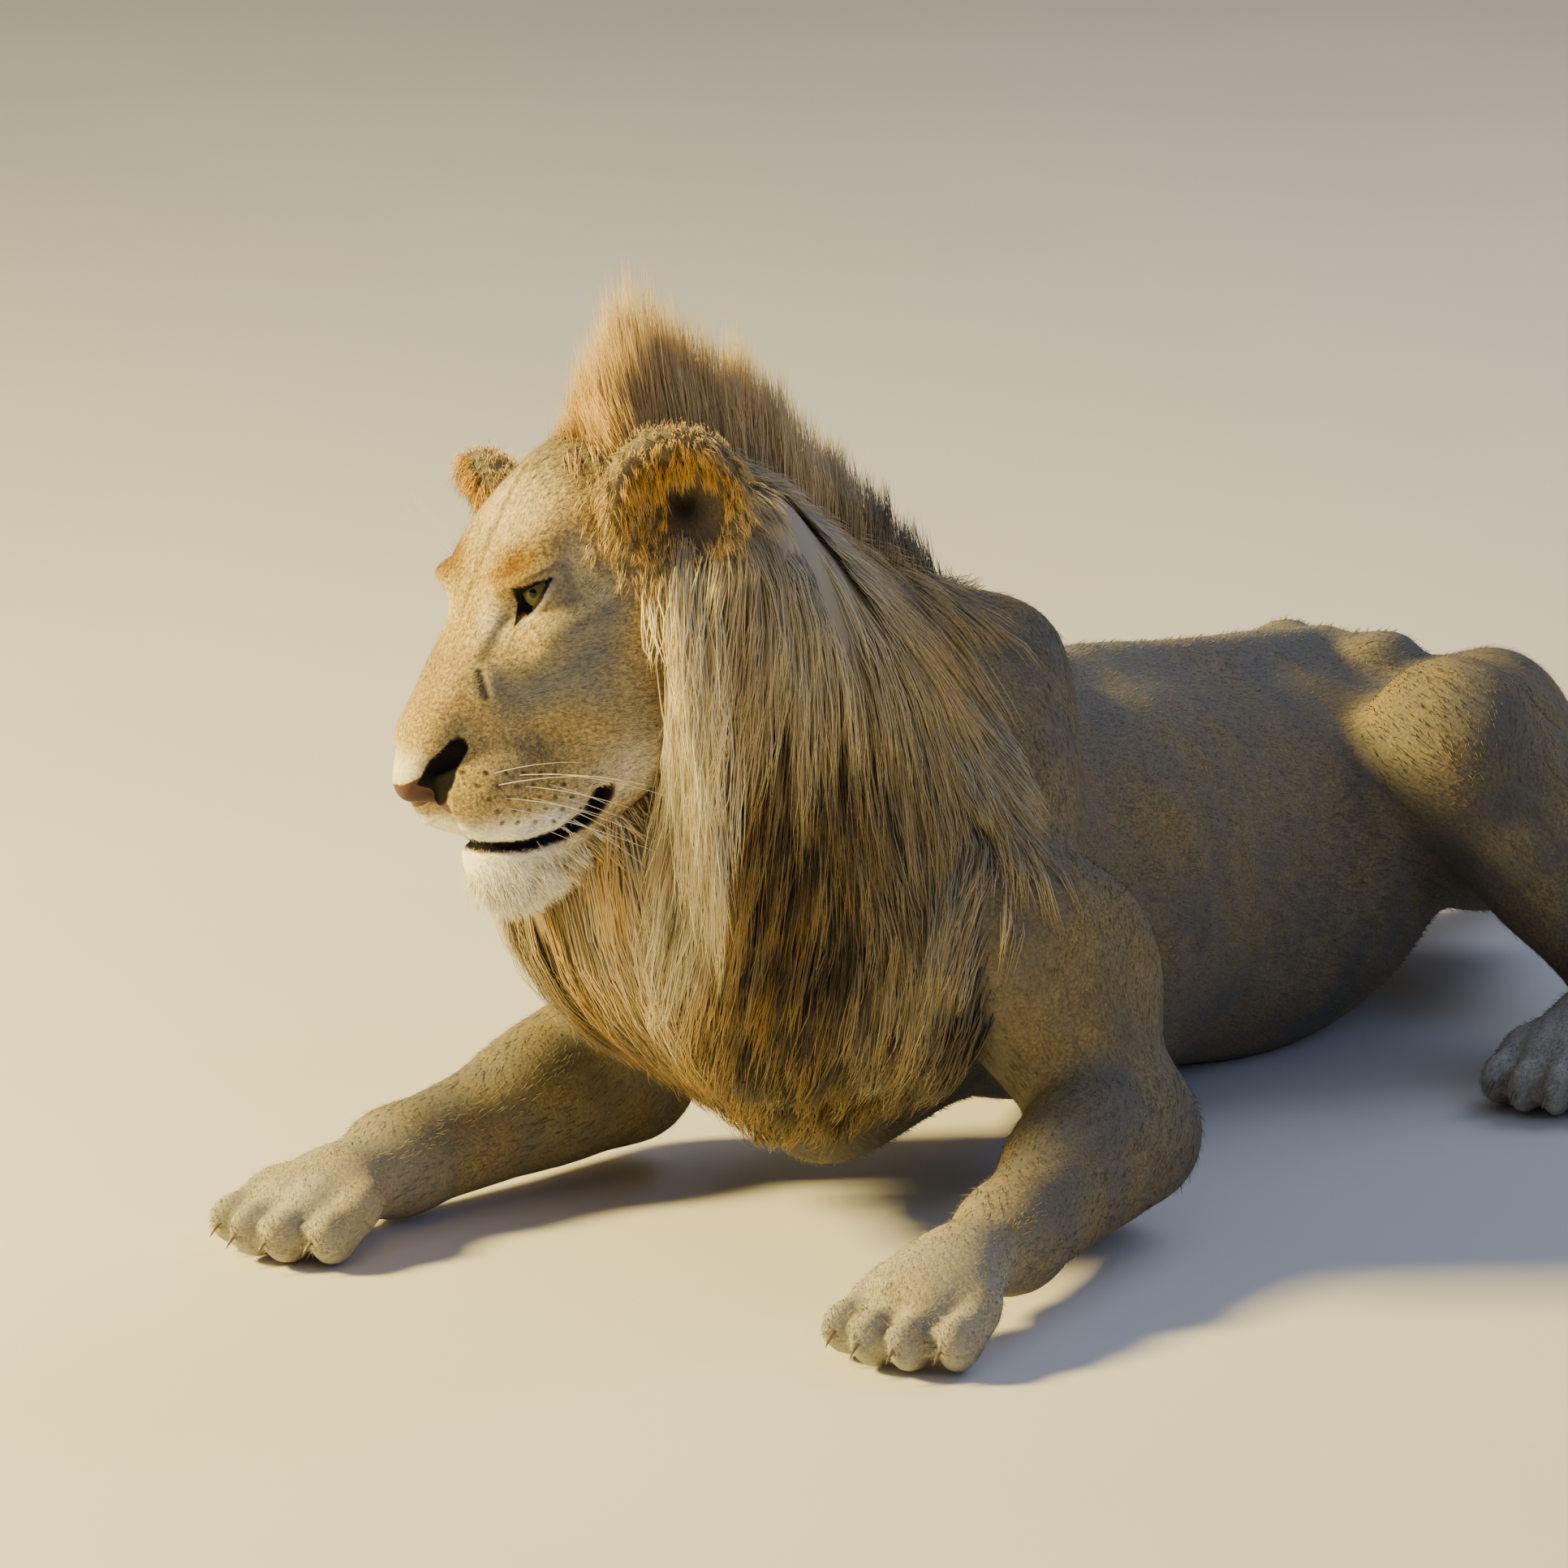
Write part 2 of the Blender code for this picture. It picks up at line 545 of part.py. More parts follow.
mane = shaped("mane_chest", mane_masses(), 0.014, TRIANGLES["mane"])
crest = shaped("mane_crest", crest_masses(), 0.007, TRIANGLES["crest"])
ears = [shaped(f"ear_{name}", ear_masses(s), 0.0045, TRIANGLES["ear"]) for s, name in ((1, "left"), (-1, "right"))]
eyes = []
for s, name in ((1, "left"), (-1, "right")):
    mesh = bpy.data.meshes.new("eye")
    bm = bmesh.new()
    where = Matrix.Translation(HEAD @ Vector((EYE[0], EYE[1] * s, EYE[2])))
    bmesh.ops.create_icosphere(bm, subdivisions=2, radius=EYE_RADIUS * 1.03, matrix=where)
    bm.to_mesh(mesh)
    bm.free()
    eyes.append(bpy.data.objects.new("eye_" + name, mesh))
    NODES.objects.link(eyes[-1])

mane_cut, crest_cut = cutter_copy(mane, GAP), cutter_copy(crest, GAP)
ear_cuts = [cutter_copy(ear, GAP) for ear in ears]
for cut in [cutter_copy(eye, GAP) for eye in eyes] + [mane_cut, crest_cut] + ear_cuts:
    boolean(body, cut, "DIFFERENCE")
boolean(mane, crest_cut, "DIFFERENCE")
for cut in ear_cuts:
    boolean(mane, cut, "DIFFERENCE")
    boolean(crest, cut, "DIFFERENCE")

for side, points in (("left", LEFT_FORELEG), ("right", RIGHT_FORELEG)):
    leg_nodes(body, side, points, FORELEG_SLEEVE, ("upper_arm", "forearm", "forepaw"), (0.10, 0.02))
for side, points in (("left", LEFT_HINDLEG), ("right", RIGHT_HINDLEG)):
    leg_nodes(body, side, points, HINDLEG_SLEEVE, ("thigh", "shank", "hind_foot"), (0.10, 0.08))

skull = shaped("skull_cutter", head_masses(), 0.02, TRIANGLES["sleeve"], 0.012, CUTTERS)
cut_out(body, skull, "head")
tail = plane_split(body, (0, 1.225, 0.15), (0, 0.8, -0.6), "tail", 1.5)
tuft = shaped("tail_tuft", string_masses("tuft", TAIL_TUFT), 0.008, TRIANGLES["tuft"])
floor_cut(tuft)
boolean(tail, cutter_copy(tuft, GAP), "DIFFERENCE")
plane_split(body, (0, 0.06, 0.42), (-0.10, -0.80, 0.60), "neck", 0.3)

for obj in list(CUTTERS.objects):
    bpy.data.objects.remove(obj)

corners = np.concatenate([coordinates(obj.data) for obj in NODES.objects])
low, high = corners.min(0), corners.max(0)
shift = Vector((-(low[0] + high[0]) / 2, -(low[1] + high[1]) / 2, -low[2]))
for obj in NODES.objects:
    obj.data.transform(Matrix.Translation(shift))
    obj.data.update()
paint((
    (("eye",), (0.16, 0.09, 0.02)),
    (("tuft",), (0.05, 0.035, 0.02)),
    (("mane",), (0.42, 0.26, 0.10)),
    (("",), (0.40, 0.30, 0.17)),
))
print("shift", tuple(round(v, 4) for v in shift))
print("triangles", {o.name: sum(len(f.vertices) - 2 for f in o.data.polygons) for o in NODES.objects})
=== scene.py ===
# %% [markdown]
# # A young lion, lying with his head up
# A still, life-size animal as a museum shows it. The solids give its size and the place of each part; this
# lesson gives it a skin, eyes and a coat. The same eggs and limbs that shaped the solids are written out
# again here, because a formula for the body tells three things at once: where the skin lies, which way is
# out, and which way the hair runs. The skin, the coat and the markings are all worked out from it.

# %% The frame that everything is fitted to
import json
import math
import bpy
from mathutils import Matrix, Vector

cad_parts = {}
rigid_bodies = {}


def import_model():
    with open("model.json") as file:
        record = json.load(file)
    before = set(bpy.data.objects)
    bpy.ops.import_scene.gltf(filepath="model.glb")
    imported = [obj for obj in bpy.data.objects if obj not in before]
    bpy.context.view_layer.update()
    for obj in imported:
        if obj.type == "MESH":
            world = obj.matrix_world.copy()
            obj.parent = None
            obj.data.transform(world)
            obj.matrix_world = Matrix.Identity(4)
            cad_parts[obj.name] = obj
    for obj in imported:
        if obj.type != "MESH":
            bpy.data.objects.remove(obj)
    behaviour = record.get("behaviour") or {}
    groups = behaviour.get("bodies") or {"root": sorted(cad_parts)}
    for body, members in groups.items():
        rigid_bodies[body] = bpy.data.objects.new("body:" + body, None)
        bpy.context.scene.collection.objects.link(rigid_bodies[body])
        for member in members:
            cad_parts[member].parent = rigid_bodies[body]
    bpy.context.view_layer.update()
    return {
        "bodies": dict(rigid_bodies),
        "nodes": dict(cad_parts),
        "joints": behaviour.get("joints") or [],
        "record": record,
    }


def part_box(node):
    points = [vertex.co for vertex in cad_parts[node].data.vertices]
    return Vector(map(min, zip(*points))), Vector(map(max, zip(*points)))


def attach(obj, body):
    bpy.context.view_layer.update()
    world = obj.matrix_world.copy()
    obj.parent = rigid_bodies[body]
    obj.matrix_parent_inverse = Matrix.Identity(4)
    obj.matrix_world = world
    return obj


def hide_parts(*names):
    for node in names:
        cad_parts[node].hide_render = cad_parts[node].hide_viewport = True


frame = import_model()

from types import SimpleNamespace

import bmesh
import bpy
import numpy as np
from mathutils import Euler, Matrix, Vector
from mathutils.kdtree import KDTree

# %% [markdown]
# ## Small helpers
# Colours are written as sRGB hex, as a painter picks them, and turned to linear light by one function. One
# more adds a shader node with its settings and its links, so that a material reads as a list. Plain things,
# such as plaster, horn and whiskers, share one recipe: two near colours that wander with the place.

# %% Colours, nodes and steps
def linear(hex_colour):
    """sRGB hex to the linear values that a shader works in."""
    parts = [int(hex_colour[i : i + 2], 16) / 255 for i in (1, 3, 5)]
    return (*[c / 12.92 if c <= 0.04045 else ((c + 0.055) / 1.055) ** 2.4 for c in parts], 1)


def add_node(tree, kind, inputs=None, **settings):
    """One node. inputs maps a socket's name or number to a value, or to the output that feeds it."""
    node = tree.nodes.new("ShaderNode" + kind)
    for key, value in settings.items():
        setattr(node, key, value)
    for key, value in (inputs or {}).items():
        if isinstance(value, bpy.types.NodeSocket):
            tree.links.new(value, node.inputs[key])
        else:
            node.inputs[key].default_value = value
    return node


def new_material(name):
    """An empty material and its node tree."""
    material = bpy.data.materials.new(name)
    material.use_nodes = True
    material.node_tree.nodes.clear()
    return material, material.node_tree


def mottled(name, scale, detail, low, high, finish, dent=0.0):
    """Two colours that wander with the place; finish gives the shader's other values."""
    material, tree = new_material(name)
    place = add_node(tree, "TexCoord").outputs["Object"]
    cloud = add_node(tree, "TexNoise", {"Vector": place, "Scale": scale, "Detail": detail}).outputs[0]
    tone = add_node(tree, "Mix", {0: cloud, 6: linear(low), 7: linear(high)}, data_type="RGBA").outputs[2]
    shader = add_node(tree, "BsdfPrincipled", {"Base Color": tone, **finish})
    if dent:
        bump = add_node(tree, "Bump", {"Height": cloud, "Distance": dent, "Strength": 0.5})
        tree.links.new(bump.outputs[0], shader.inputs["Normal"])
    add_node(tree, "OutputMaterial", {"Surface": shader.outputs[0]})
    return material


def soft_step(x, low, high):
    """0 below low, 1 above high, and a smooth rise between."""
    t = np.clip((x - low) / (high - low), 0, 1)
    return t * t * (3 - 2 * t)


def fade(x, low, high):
    """1 below low, 0 above high, and a smooth fall between."""
    return 1 - soft_step(x, low, high)


def unit(v):
    return v / np.maximum(np.linalg.norm(v, axis=-1, keepdims=True), 1e-9)


print("sand", [round(v, 3) for v in linear("#B58E5B")])

# %% [markdown]
# ## Eggs and limbs
# An egg is an ellipsoid and a limb is a cone with round ends; muscles, bones and pads are one or the other.
# `field` gives the signed distance to all of them blended together, and the direction straight out of the
# blend. Each mass also has a grain, the way the hair runs over it.

# %% Sizes, in metres, nose towards -Y
NOSE = Vector((-0.200, -0.434, 0.452))  # tip of the nose before the model is centred
HEAD_TURN = (27, 24, 7)  # degrees: to his right, nose down, left ear up
EYE_RADIUS = 0.0185
EYE = (-0.174, 0.056, 0.086)  # middle of the eye's solid in the head's own axes: forward, left, up
BALL = (-0.179, 0.0625, 0.088)  # middle of the finished eyeball, set a little deeper
# where it looks, in the eye's own axes: level ahead, as he carries his head low
GAZE = (-0.20, 0.25, 0.945)
BLADE_TOP = (0.055, 0.200, 0.465)  # top of the left shoulder blade
LEFT_FORELEG = (
    (0.170, -0.030, 0.270), (0.252, 0.055, 0.088), (0.300, -0.238, 0.070), (0.296, -0.455, 0.03)
)
RIGHT_FORELEG = (
    (-0.170, -0.04, 0.270), (-0.250, 0.035, 0.085), (-0.316, -0.240, 0.054), (-0.340, -0.432, 0.03)
)
LEFT_HINDLEG = ((0.095, 1.05, 0.185), (0.210, 0.785, 0.288), (0.372, 0.850, 0.058), (0.405, 0.565, 0.03))
RIGHT_HINDLEG = (
    (-0.095, 1.05, 0.185), (-0.245, 0.735, 0.215), (-0.370, 0.870, 0.056), (-0.405, 0.590, 0.03)
)
LEGS = (LEFT_FORELEG, RIGHT_FORELEG, LEFT_HINDLEG, RIGHT_HINDLEG)
FOREPAW_WIDTH, HINDPAW_WIDTH = 0.142, 0.122
FOOT_SHARE = 0.42  # how far from hock to toes a hind paw begins
TAIL = (
    (0, 1.170, 0.185, 0.050), (0.005, 1.280, 0.120, 0.037), (0.03, 1.380, 0.058, 0.029),
    (0.10, 1.490, 0.033, 0.026), (0.23, 1.575, 0.026, 0.024), (0.39, 1.600, 0.024, 0.022),
    (0.53, 1.560, 0.023, 0.021), (0.62, 1.480, 0.023, 0.020),
)
TAIL_TUFT = (
    (0.60, 1.500, 0.030, 0.026), (0.665, 1.41, 0.040, 0.042), (0.690, 1.30, 0.034, 0.030),
    (0.69, 1.24, 0.02, 0.016)
)


# %% One mass, and the blend of many
def egg(name, centre, radii, turn, blend, frame=None, cut=False):
    """An ellipsoid; turn is in degrees about x, y and z. A cut one is taken out of the rest."""
    centre = Vector(centre)
    axes = Euler([math.radians(a) for a in turn]).to_matrix()
    if frame is not None:
        centre, axes = frame @ centre, frame.to_3x3() @ axes
    return SimpleNamespace(
        name=name, kind="egg", blend=blend, cut=cut, middle=np.array(centre, float),
        reach=max(radii) + blend,
        radii=np.array(radii, float), axes=np.array(axes, float),
    )


def limb(name, start, end, r_start, r_end, blend, frame=None):
    """A cone with round ends, as a length of leg."""
    start, end = Vector(start), Vector(end)
    if frame is not None:
        start, end = frame @ start, frame @ end
    a, b = np.array(start, float), np.array(end, float)
    reach = (end - start).length / 2 + max(r_start, r_end) + blend
    return SimpleNamespace(
        name=name, kind="limb", blend=blend, cut=False, middle=(a + b) / 2, reach=reach,
        start=a, end=b, r_start=r_start, r_end=r_end,
    )


def measure(mass, p):
    """How far places are outside one mass, and the direction straight away from it."""
    if mass.kind == "egg":
        q = (p - mass.middle) @ mass.axes
        k0 = np.sqrt(((q / mass.radii) ** 2).sum(1)) + 1e-9
        k1 = np.sqrt(((q / mass.radii**2) ** 2).sum(1)) + 1e-9
        return k0 * (k0 - 1) / k1, unit((q / mass.radii**2) @ mass.axes.T)
    bone = mass.end - mass.start
    t = np.clip(((p - mass.start) @ bone) / (bone @ bone), 0, 1)
    off = p - mass.start - t[:, None] * bone
    return np.linalg.norm(off, axis=1) - (mass.r_start + (mass.r_end - mass.r_start) * t), unit(off)


def field(p, masses):
    """Signed distance to the blended masses, 0.3 m where nothing is near, and the way out."""
    f, slope = np.full(len(p), 0.3), np.zeros((len(p), 3))
    for mass in masses:
        near = np.flatnonzero(((p - mass.middle) ** 2).sum(1) < (mass.reach + 0.05) ** 2)
        if not len(near):
            continue
        d, away = measure(mass, p[near])
        old, k = f[near], mass.blend
        if mass.cut:
            h = np.clip(0.5 - 0.5 * (old + d) / k, 0, 1)
            f[near] = old * (1 - h) - d * h + k * h * (1 - h)
            away = -away
        else:
            h = np.clip(0.5 + 0.5 * (old - d) / k, 0, 1)
            f[near] = old * (1 - h) + d * h - k * h * (1 - h)
        slope[near] = slope[near] * (1 - h[:, None]) + away * h[:, None]
    return f, unit(slope)


# %% [markdown]
# ## The animal
# The head has axes of its own at the tip of the nose: x forward, y to his left, z up. It is turned to his
# right and carried a little low. The rest is written in the lion's own axes.

# %% The head
def head_frame():
    """The head's own axes at the nose tip: x forward, y left, z up."""
    turn, down, lean = (math.radians(a) for a in HEAD_TURN)
    ahead = Vector((-math.sin(turn), -math.cos(turn), 0))
    left = Vector((math.cos(turn), -math.sin(turn), 0))
    forward = ahead * math.cos(down) - Vector((0, 0, 1)) * math.sin(down)
    above = Vector((0, 0, 1)) * math.cos(down) + ahead * math.sin(down)
    side = left * math.cos(lean) + above * math.sin(lean)
    up = above * math.cos(lean) - left * math.sin(lean)
    frame = Matrix((forward, side, up)).transposed().to_4x4()
    frame.translation = NOSE
    return frame


HEAD = head_frame()
HEAD_AXES = np.array(HEAD.to_3x3())
print("head axes", HEAD_AXES.round(2).tolist())


def head_masses():
    f = HEAD
    out = [
        egg("cranium", (-0.283, 0, 0.086), (0.105, 0.073, 0.096), (0, 0, 0), 0.03, f),
        egg("forehead", (-0.205, 0, 0.060), (0.085, 0.056, 0.072), (0, 20, 0), 0.04, f),
        limb("skull_base", (-0.24, 0, 0.02), (-0.32, 0, 0.03), 0.072, 0.085, 0.05, f),
        egg("muzzle", (-0.086, 0, -0.018), (0.078, 0.044, 0.050), (0, 25, 0), 0.03, f),
        egg("nose", (-0.028, 0, -0.020), (0.026, 0.034, 0.026), (0, 0, 0), 0.015, f),
        limb("nose_top", (-0.056, 0, 0.013), (-0.032, 0, -0.012), 0.021, 0.019, 0.015, f),
        egg("chin", (-0.064, 0, -0.124), (0.036, 0.034, 0.032), (0, -8, 0), 0.02, f),
        egg("jaw_floor", (-0.130, 0, -0.109), (0.085, 0.046, 0.036), (0, -5, 0), 0.03, f),
    ]
    for s in (1, -1):
        out += [
            limb("bridge", (-0.150, 0.018 * s, 0.068), (-0.054, 0.015 * s, 0.012), 0.027, 0.022, 0.025, f),
            egg("brow", (-0.174, 0.043 * s, 0.101), (0.036, 0.028, 0.019), (0, 20, 12 * s), 0.025, f),
            egg(
                "whisker_pad", (-0.066, 0.034 * s, -0.047), (0.052, 0.031, 0.036), (0, 8, -12 * s), 0.02, f
            ),
            egg("lip_back", (-0.115, 0.042 * s, -0.060), (0.048, 0.028, 0.036), (0, 10, -12 * s), 0.025, f),
            egg("under_eye", (-0.135, 0.044 * s, 0.028), (0.052, 0.030, 0.040), (0, 25, -12 * s), 0.03, f),
            limb(
                "cheekbone", (-0.165, 0.064 * s, 0.052), (-0.265, 0.096 * s, 0.048), 0.022, 0.026, 0.03, f
            ),
            egg("cheek", (-0.222, 0.068 * s, -0.008), (0.080, 0.046, 0.078), (0, 0, -10 * s), 0.04, f),
            limb("jaw", (-0.085, 0.026 * s, -0.114), (-0.235, 0.068 * s, -0.070), 0.027, 0.040, 0.03, f),
            egg("temple", (-0.250, 0.052 * s, 0.095), (0.075, 0.038, 0.050), (0, 0, 0), 0.04, f),
            egg(
                "eye_socket", (-0.135, 0.081 * s, 0.086), (0.022, 0.032, 0.026), (0, 0, 33 * s), 0.020, f,
                True
            ),
            egg(
                "eye_opening", (-0.144, 0.0755 * s, 0.086), (0.022, 0.020, 0.013), (0, 0, 33 * s), 0.006, f,
                True
            ),
        ]
    return out


# %% The trunk
def trunk_masses():
    head_root = HEAD @ Vector((-0.30, 0, 0.02))
    nape_root = HEAD @ Vector((-0.31, 0, 0.07))
    out = [
        egg("ribcage", (0, 0.39, 0.214), (0.178, 0.34, 0.200), (-3, 0, 0), 0.05),
        egg("forechest", (0, 0.10, 0.26), (0.150, 0.20, 0.20), (0, 0, 0), 0.06),
        egg("brisket", (0, -0.02, 0.19), (0.09, 0.13, 0.15), (0, 0, 0), 0.06),
        egg("belly", (0, 0.72, 0.165), (0.190, 0.32, 0.190), (0, 0, 0), 0.06),
        limb("loin", (0, 0.42, 0.298), (0, 0.92, 0.238), 0.100, 0.088, 0.05),
        egg("pelvis", (0, 1.01, 0.186), (0.130, 0.20, 0.120), (-14, 0, 0), 0.05),
        limb("spine", (0, 0.30, 0.426), (0, 0.93, 0.340), 0.018, 0.015, 0.05),
        limb("withers", (0, 0.10, 0.43), (0, 0.25, 0.435), 0.085, 0.062, 0.06),
        limb("neck", head_root, (0, 0.10, 0.36), 0.110, 0.150, 0.07),
        limb("nape", nape_root, (0, 0.16, 0.43), 0.080, 0.088, 0.07),
    ]
    for s in (1, -1):
        out += [
            egg("hip_crest", (0.056 * s, 0.945, 0.326), (0.030, 0.055, 0.028), (0, 0, 0), 0.045),
            egg("buttock", (0.085 * s, 1.12, 0.165), (0.090, 0.115, 0.125), (0, 0, 0), 0.05),
        ]
    return out


# %% Paws and legs
def paw_frame(wrist, toes):
    """A foot's own axes at its wrist: -y runs to the toes."""
    along = toes - wrist
    return Matrix.Translation(wrist) @ Matrix.Rotation(math.atan2(along.x, -along.y), 4, "Z")


def toe_places(wrist, toes, width):
    """x and y of the four toes in the foot's own axes. The middle two reach further."""
    length = (toes - wrist).length
    return [((i - 1.5) * width * 0.245, -length + (0.024 if i in (1, 2) else 0.043)) for i in range(4)]


def paw_masses(name, wrist, toes, width):
    """A broad cat's foot: wrist, back of the hand, four toes with their knuckles."""
    length, f = (toes - wrist).length, paw_frame(wrist, toes)
    out = [
        limb(name + "_wrist", (0, 0, 0), (0, -0.35 * length, -0.006), 0.045, 0.041, 0.03, f),
        egg(
            name + "_back", (0, -0.55 * length, -0.012), (width * 0.40, 0.32 * length, 0.036), (8, 0, 0),
            0.03, f
        ),
    ]
    for i, (x, y) in enumerate(toe_places(wrist, toes, width)):
        toe, knuckle = (x, y, 0.027 - wrist.z), (x, y + 0.036, 0.043 - wrist.z)
        out += [
            egg(name + "_toe", toe, (width * 0.135, 0.036, 0.027), (-14, 0, 7 * (i - 1.5)), 0.012, f),
            egg(name + "_knuckle", knuckle, (width * 0.13, 0.036, 0.023), (20, 0, 5 * (i - 1.5)), 0.015, f),
        ]
    return out


def foreleg_masses(side, points):
    shoulder, elbow, wrist, toes = map(Vector, points)
    blade_top = Vector((BLADE_TOP[0] * side, BLADE_TOP[1], BLADE_TOP[2]))
    triceps = shoulder * 0.35 + elbow * 0.65 + Vector((-0.01 * side, 0.045, 0.06))
    return [
        limb("shoulder_blade", blade_top, shoulder, 0.045, 0.075, 0.06),
        egg("triceps", triceps, (0.060, 0.085, 0.115), (20, 0, 0), 0.05),
        limb("upper_arm", shoulder, elbow, 0.080, 0.064, 0.05),
        limb("forearm", elbow, wrist, 0.070, 0.052, 0.03),
        egg(
            "forearm_muscle", elbow.lerp(wrist, 0.28) + Vector((0, 0, 0.014)), (0.060, 0.120, 0.068),
            (0, 0, 0), 0.03
        ),
    ] + paw_masses("forepaw", wrist, toes, FOREPAW_WIDTH)


def hindleg_masses(side, points):
    hip, knee, hock, toes = map(Vector, points)
    thigh = hip.lerp(knee, 0.45) + Vector((0, 0.06, -0.02))
    calf = knee.lerp(hock, 0.35) + Vector((0.01 * side, 0.05, -0.01))
    return [
        limb("thigh", hip, knee, 0.108, 0.082, 0.05),
        egg("thigh_muscle", thigh, (0.080, 0.20, 0.12), (0, 0, 20 * side), 0.05),
        limb("shank", knee, hock, 0.078, 0.050, 0.04),
        egg("calf", calf, (0.055, 0.085, 0.10), (35, 0, 0), 0.05),
        limb("foot", hock, hock.lerp(toes, 0.55), 0.044, 0.038, 0.03),
    ] + paw_masses("hindpaw", hock.lerp(toes, FOOT_SHARE), toes, HINDPAW_WIDTH)


# %% Tail and ears
tail = [limb("tail", a[:3], b[:3], a[3], b[3], 0.005) for a, b in zip(TAIL, TAIL[1:])]
EARS = {  # centre, the way the cup faces, and its half height and width, in the head's axes
    1: ((-0.297, 0.128, 0.112), (0.50, 0.86, 0), (0.064, 0.066)),
    -1: ((-0.262, -0.158, 0.106), (0.92, -0.38, 0), (0.056, 0.052)),
}


def ear_frame(side):
    """The cup's own axes: x is the way it faces, z up."""
    centre, facing, _ = EARS[side]
    out, up = Vector(facing).normalized(), Vector((0, 0, 1))
    local = Matrix((out, up.cross(out), up)).transposed().to_4x4()
    local.translation = Vector(centre)
    return local


def ear_masses(side):
    """A round furred cup."""
    local, size = ear_frame(side), EARS[side][2]
    cup = HEAD @ local
    root = Vector((-0.262, 0.060 * side, 0.085))
    return [
        egg("ear_shell", (-0.010, 0, 0), (0.034, *size), (0, 0, 0), 0.01, cup),
        limb("ear_root", (-0.02, 0, -0.02), local.inverted() @ root, 0.034, 0.034, 0.02, cup),
        egg(
            "ear_hollow", (0.020, 0, -0.002), (0.036, size[0] - 0.012, size[1] - 0.012), (0, 0, 0), 0.008,
            cup, True
        ),
    ]


# %% Crest and mane
CREST = (  # where the upright hair is rooted, where it ends, and half its thickness
    ((-0.108, -0.246, 0.685), (-0.106, -0.268, 0.738), 0.026),
    ((-0.104, -0.225, 0.690), (-0.104, -0.252, 0.790), 0.022),
    ((-0.095, -0.190, 0.690), (-0.092, -0.217, 0.838), 0.020),
    ((-0.080, -0.140, 0.675), (-0.080, -0.148, 0.800), 0.026),
    ((-0.066, -0.080, 0.645), (-0.064, -0.072, 0.765), 0.030),
    ((-0.048, -0.020, 0.600), (-0.046, -0.004, 0.700), 0.034),
    ((-0.028, 0.040, 0.560), (-0.026, 0.062, 0.640), 0.036),
    ((-0.010, 0.100, 0.515), (-0.010, 0.112, 0.580), 0.036),
    ((0.000, 0.170, 0.480), (0.000, 0.182, 0.512), 0.034),
)


def mane_masses():
    h = HEAD
    out = [
        egg("throat_mane", (-0.082, -0.190, 0.345), (0.150, 0.125, 0.160), (0, 0, 0), 0.05),
        egg("chest_mane", (-0.010, -0.095, 0.255), (0.165, 0.150, 0.150), (0, 0, 0), 0.05),
    ]
    for s in (1, -1):
        jaw = h @ Vector((-0.270, 0.082 * s, -0.040))
        ear = h @ Vector((-0.330, 0.092 * s, 0.020))
        low = Vector((0.115 * s - 0.02, -0.050, 0.235))
        side = Vector((0.086 * s, -0.010, 0.330))
        out += [
            limb("cheek_ruff", jaw, low + Vector((-0.02, -0.03, 0)), 0.055, 0.085, 0.04),
            limb("side_ruff", ear, side, 0.055, 0.066, 0.07),
            limb("skirt", side, low, 0.066, 0.085, 0.07),
            limb(
                "neck_side", h @ Vector((-0.385, 0.070 * s, 0.020)), Vector((0.085 * s, 0.045, 0.345)),
                0.036, 0.050, 0.06
            ),
        ]
    return out


# %% The whole body, with the grain of its hair
def combed(masses, grain, along_limbs=True):
    """Gives each mass the way that hair runs over it: along a limb, or the one grain for an egg."""
    for mass in masses:
        along = along_limbs and mass.kind == "limb"
        mass.grain = unit(mass.end - mass.start) if along else np.array(grain, float)
    return masses


HEAD_GRAIN = HEAD_AXES @ np.array((-1, 0, -0.12))
ears = {side: combed(ear_masses(side), HEAD_AXES @ np.array((-0.3, 0, 1.0)), False) for side in (1, -1)}
body = (
    combed(trunk_masses(), (0, 1, -0.30))
    + combed(foreleg_masses(1, LEFT_FORELEG), (0.1, -0.8, -0.5))
    + combed(foreleg_masses(-1, RIGHT_FORELEG), (-0.1, -0.8, -0.5))
    + combed(hindleg_masses(1, LEFT_HINDLEG), (0.2, 0.3, -0.8))
    + combed(hindleg_masses(-1, RIGHT_HINDLEG), (-0.2, 0.3, -0.8))
    + combed(tail, (0, 1, 0))
    + combed(head_masses(), HEAD_GRAIN, False)
)
for mass in body:
    if "hindpaw" in mass.name or "forepaw" in mass.name:
        mass.grain = np.array((0, -1, -0.1))
SKIN = body + ears[1] + ears[-1]
MANE = mane_masses()
eye_place = np.array(HEAD @ Vector(EYE))
SHIFT = (np.array(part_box("eye_left")[0]) + np.array(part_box("eye_left")[1])) / 2 - eye_place
print("masses", len(SKIN), "the model's place in the frame", SHIFT.round(4))

# %% [markdown]
# ## Camera, floor and light
# A long lens from nine metres, a little above the lion, as one would stand to watch him. The floor is pale.
# One bright lamp stands on the left, where the low sun would be, and two weak ones and the room fill the
# shade.

# %% Camera
VIEW_TURN, VIEW_RISE, VIEW_AWAY = 30, 13, 9.0  # degrees, degrees and metres
LENS_MM = 234.8
VIEW_AIM = (-0.046, -0.026, 0.384)  # a point inside the neck


def aimed(obj, aim, turn, rise, away):
    """Sets a camera or lamp away from a point, at a turn and a rise in degrees, and points it there."""
    a, b = math.radians(turn), math.radians(rise)
    way = Vector((math.sin(a) * math.cos(b), -math.cos(a) * math.cos(b), math.sin(b)))
    obj.location = Vector(SHIFT) + Vector(aim) + way * away
    obj.rotation_euler = way.to_track_quat("Z", "Y").to_euler()
    bpy.context.scene.collection.objects.link(obj)


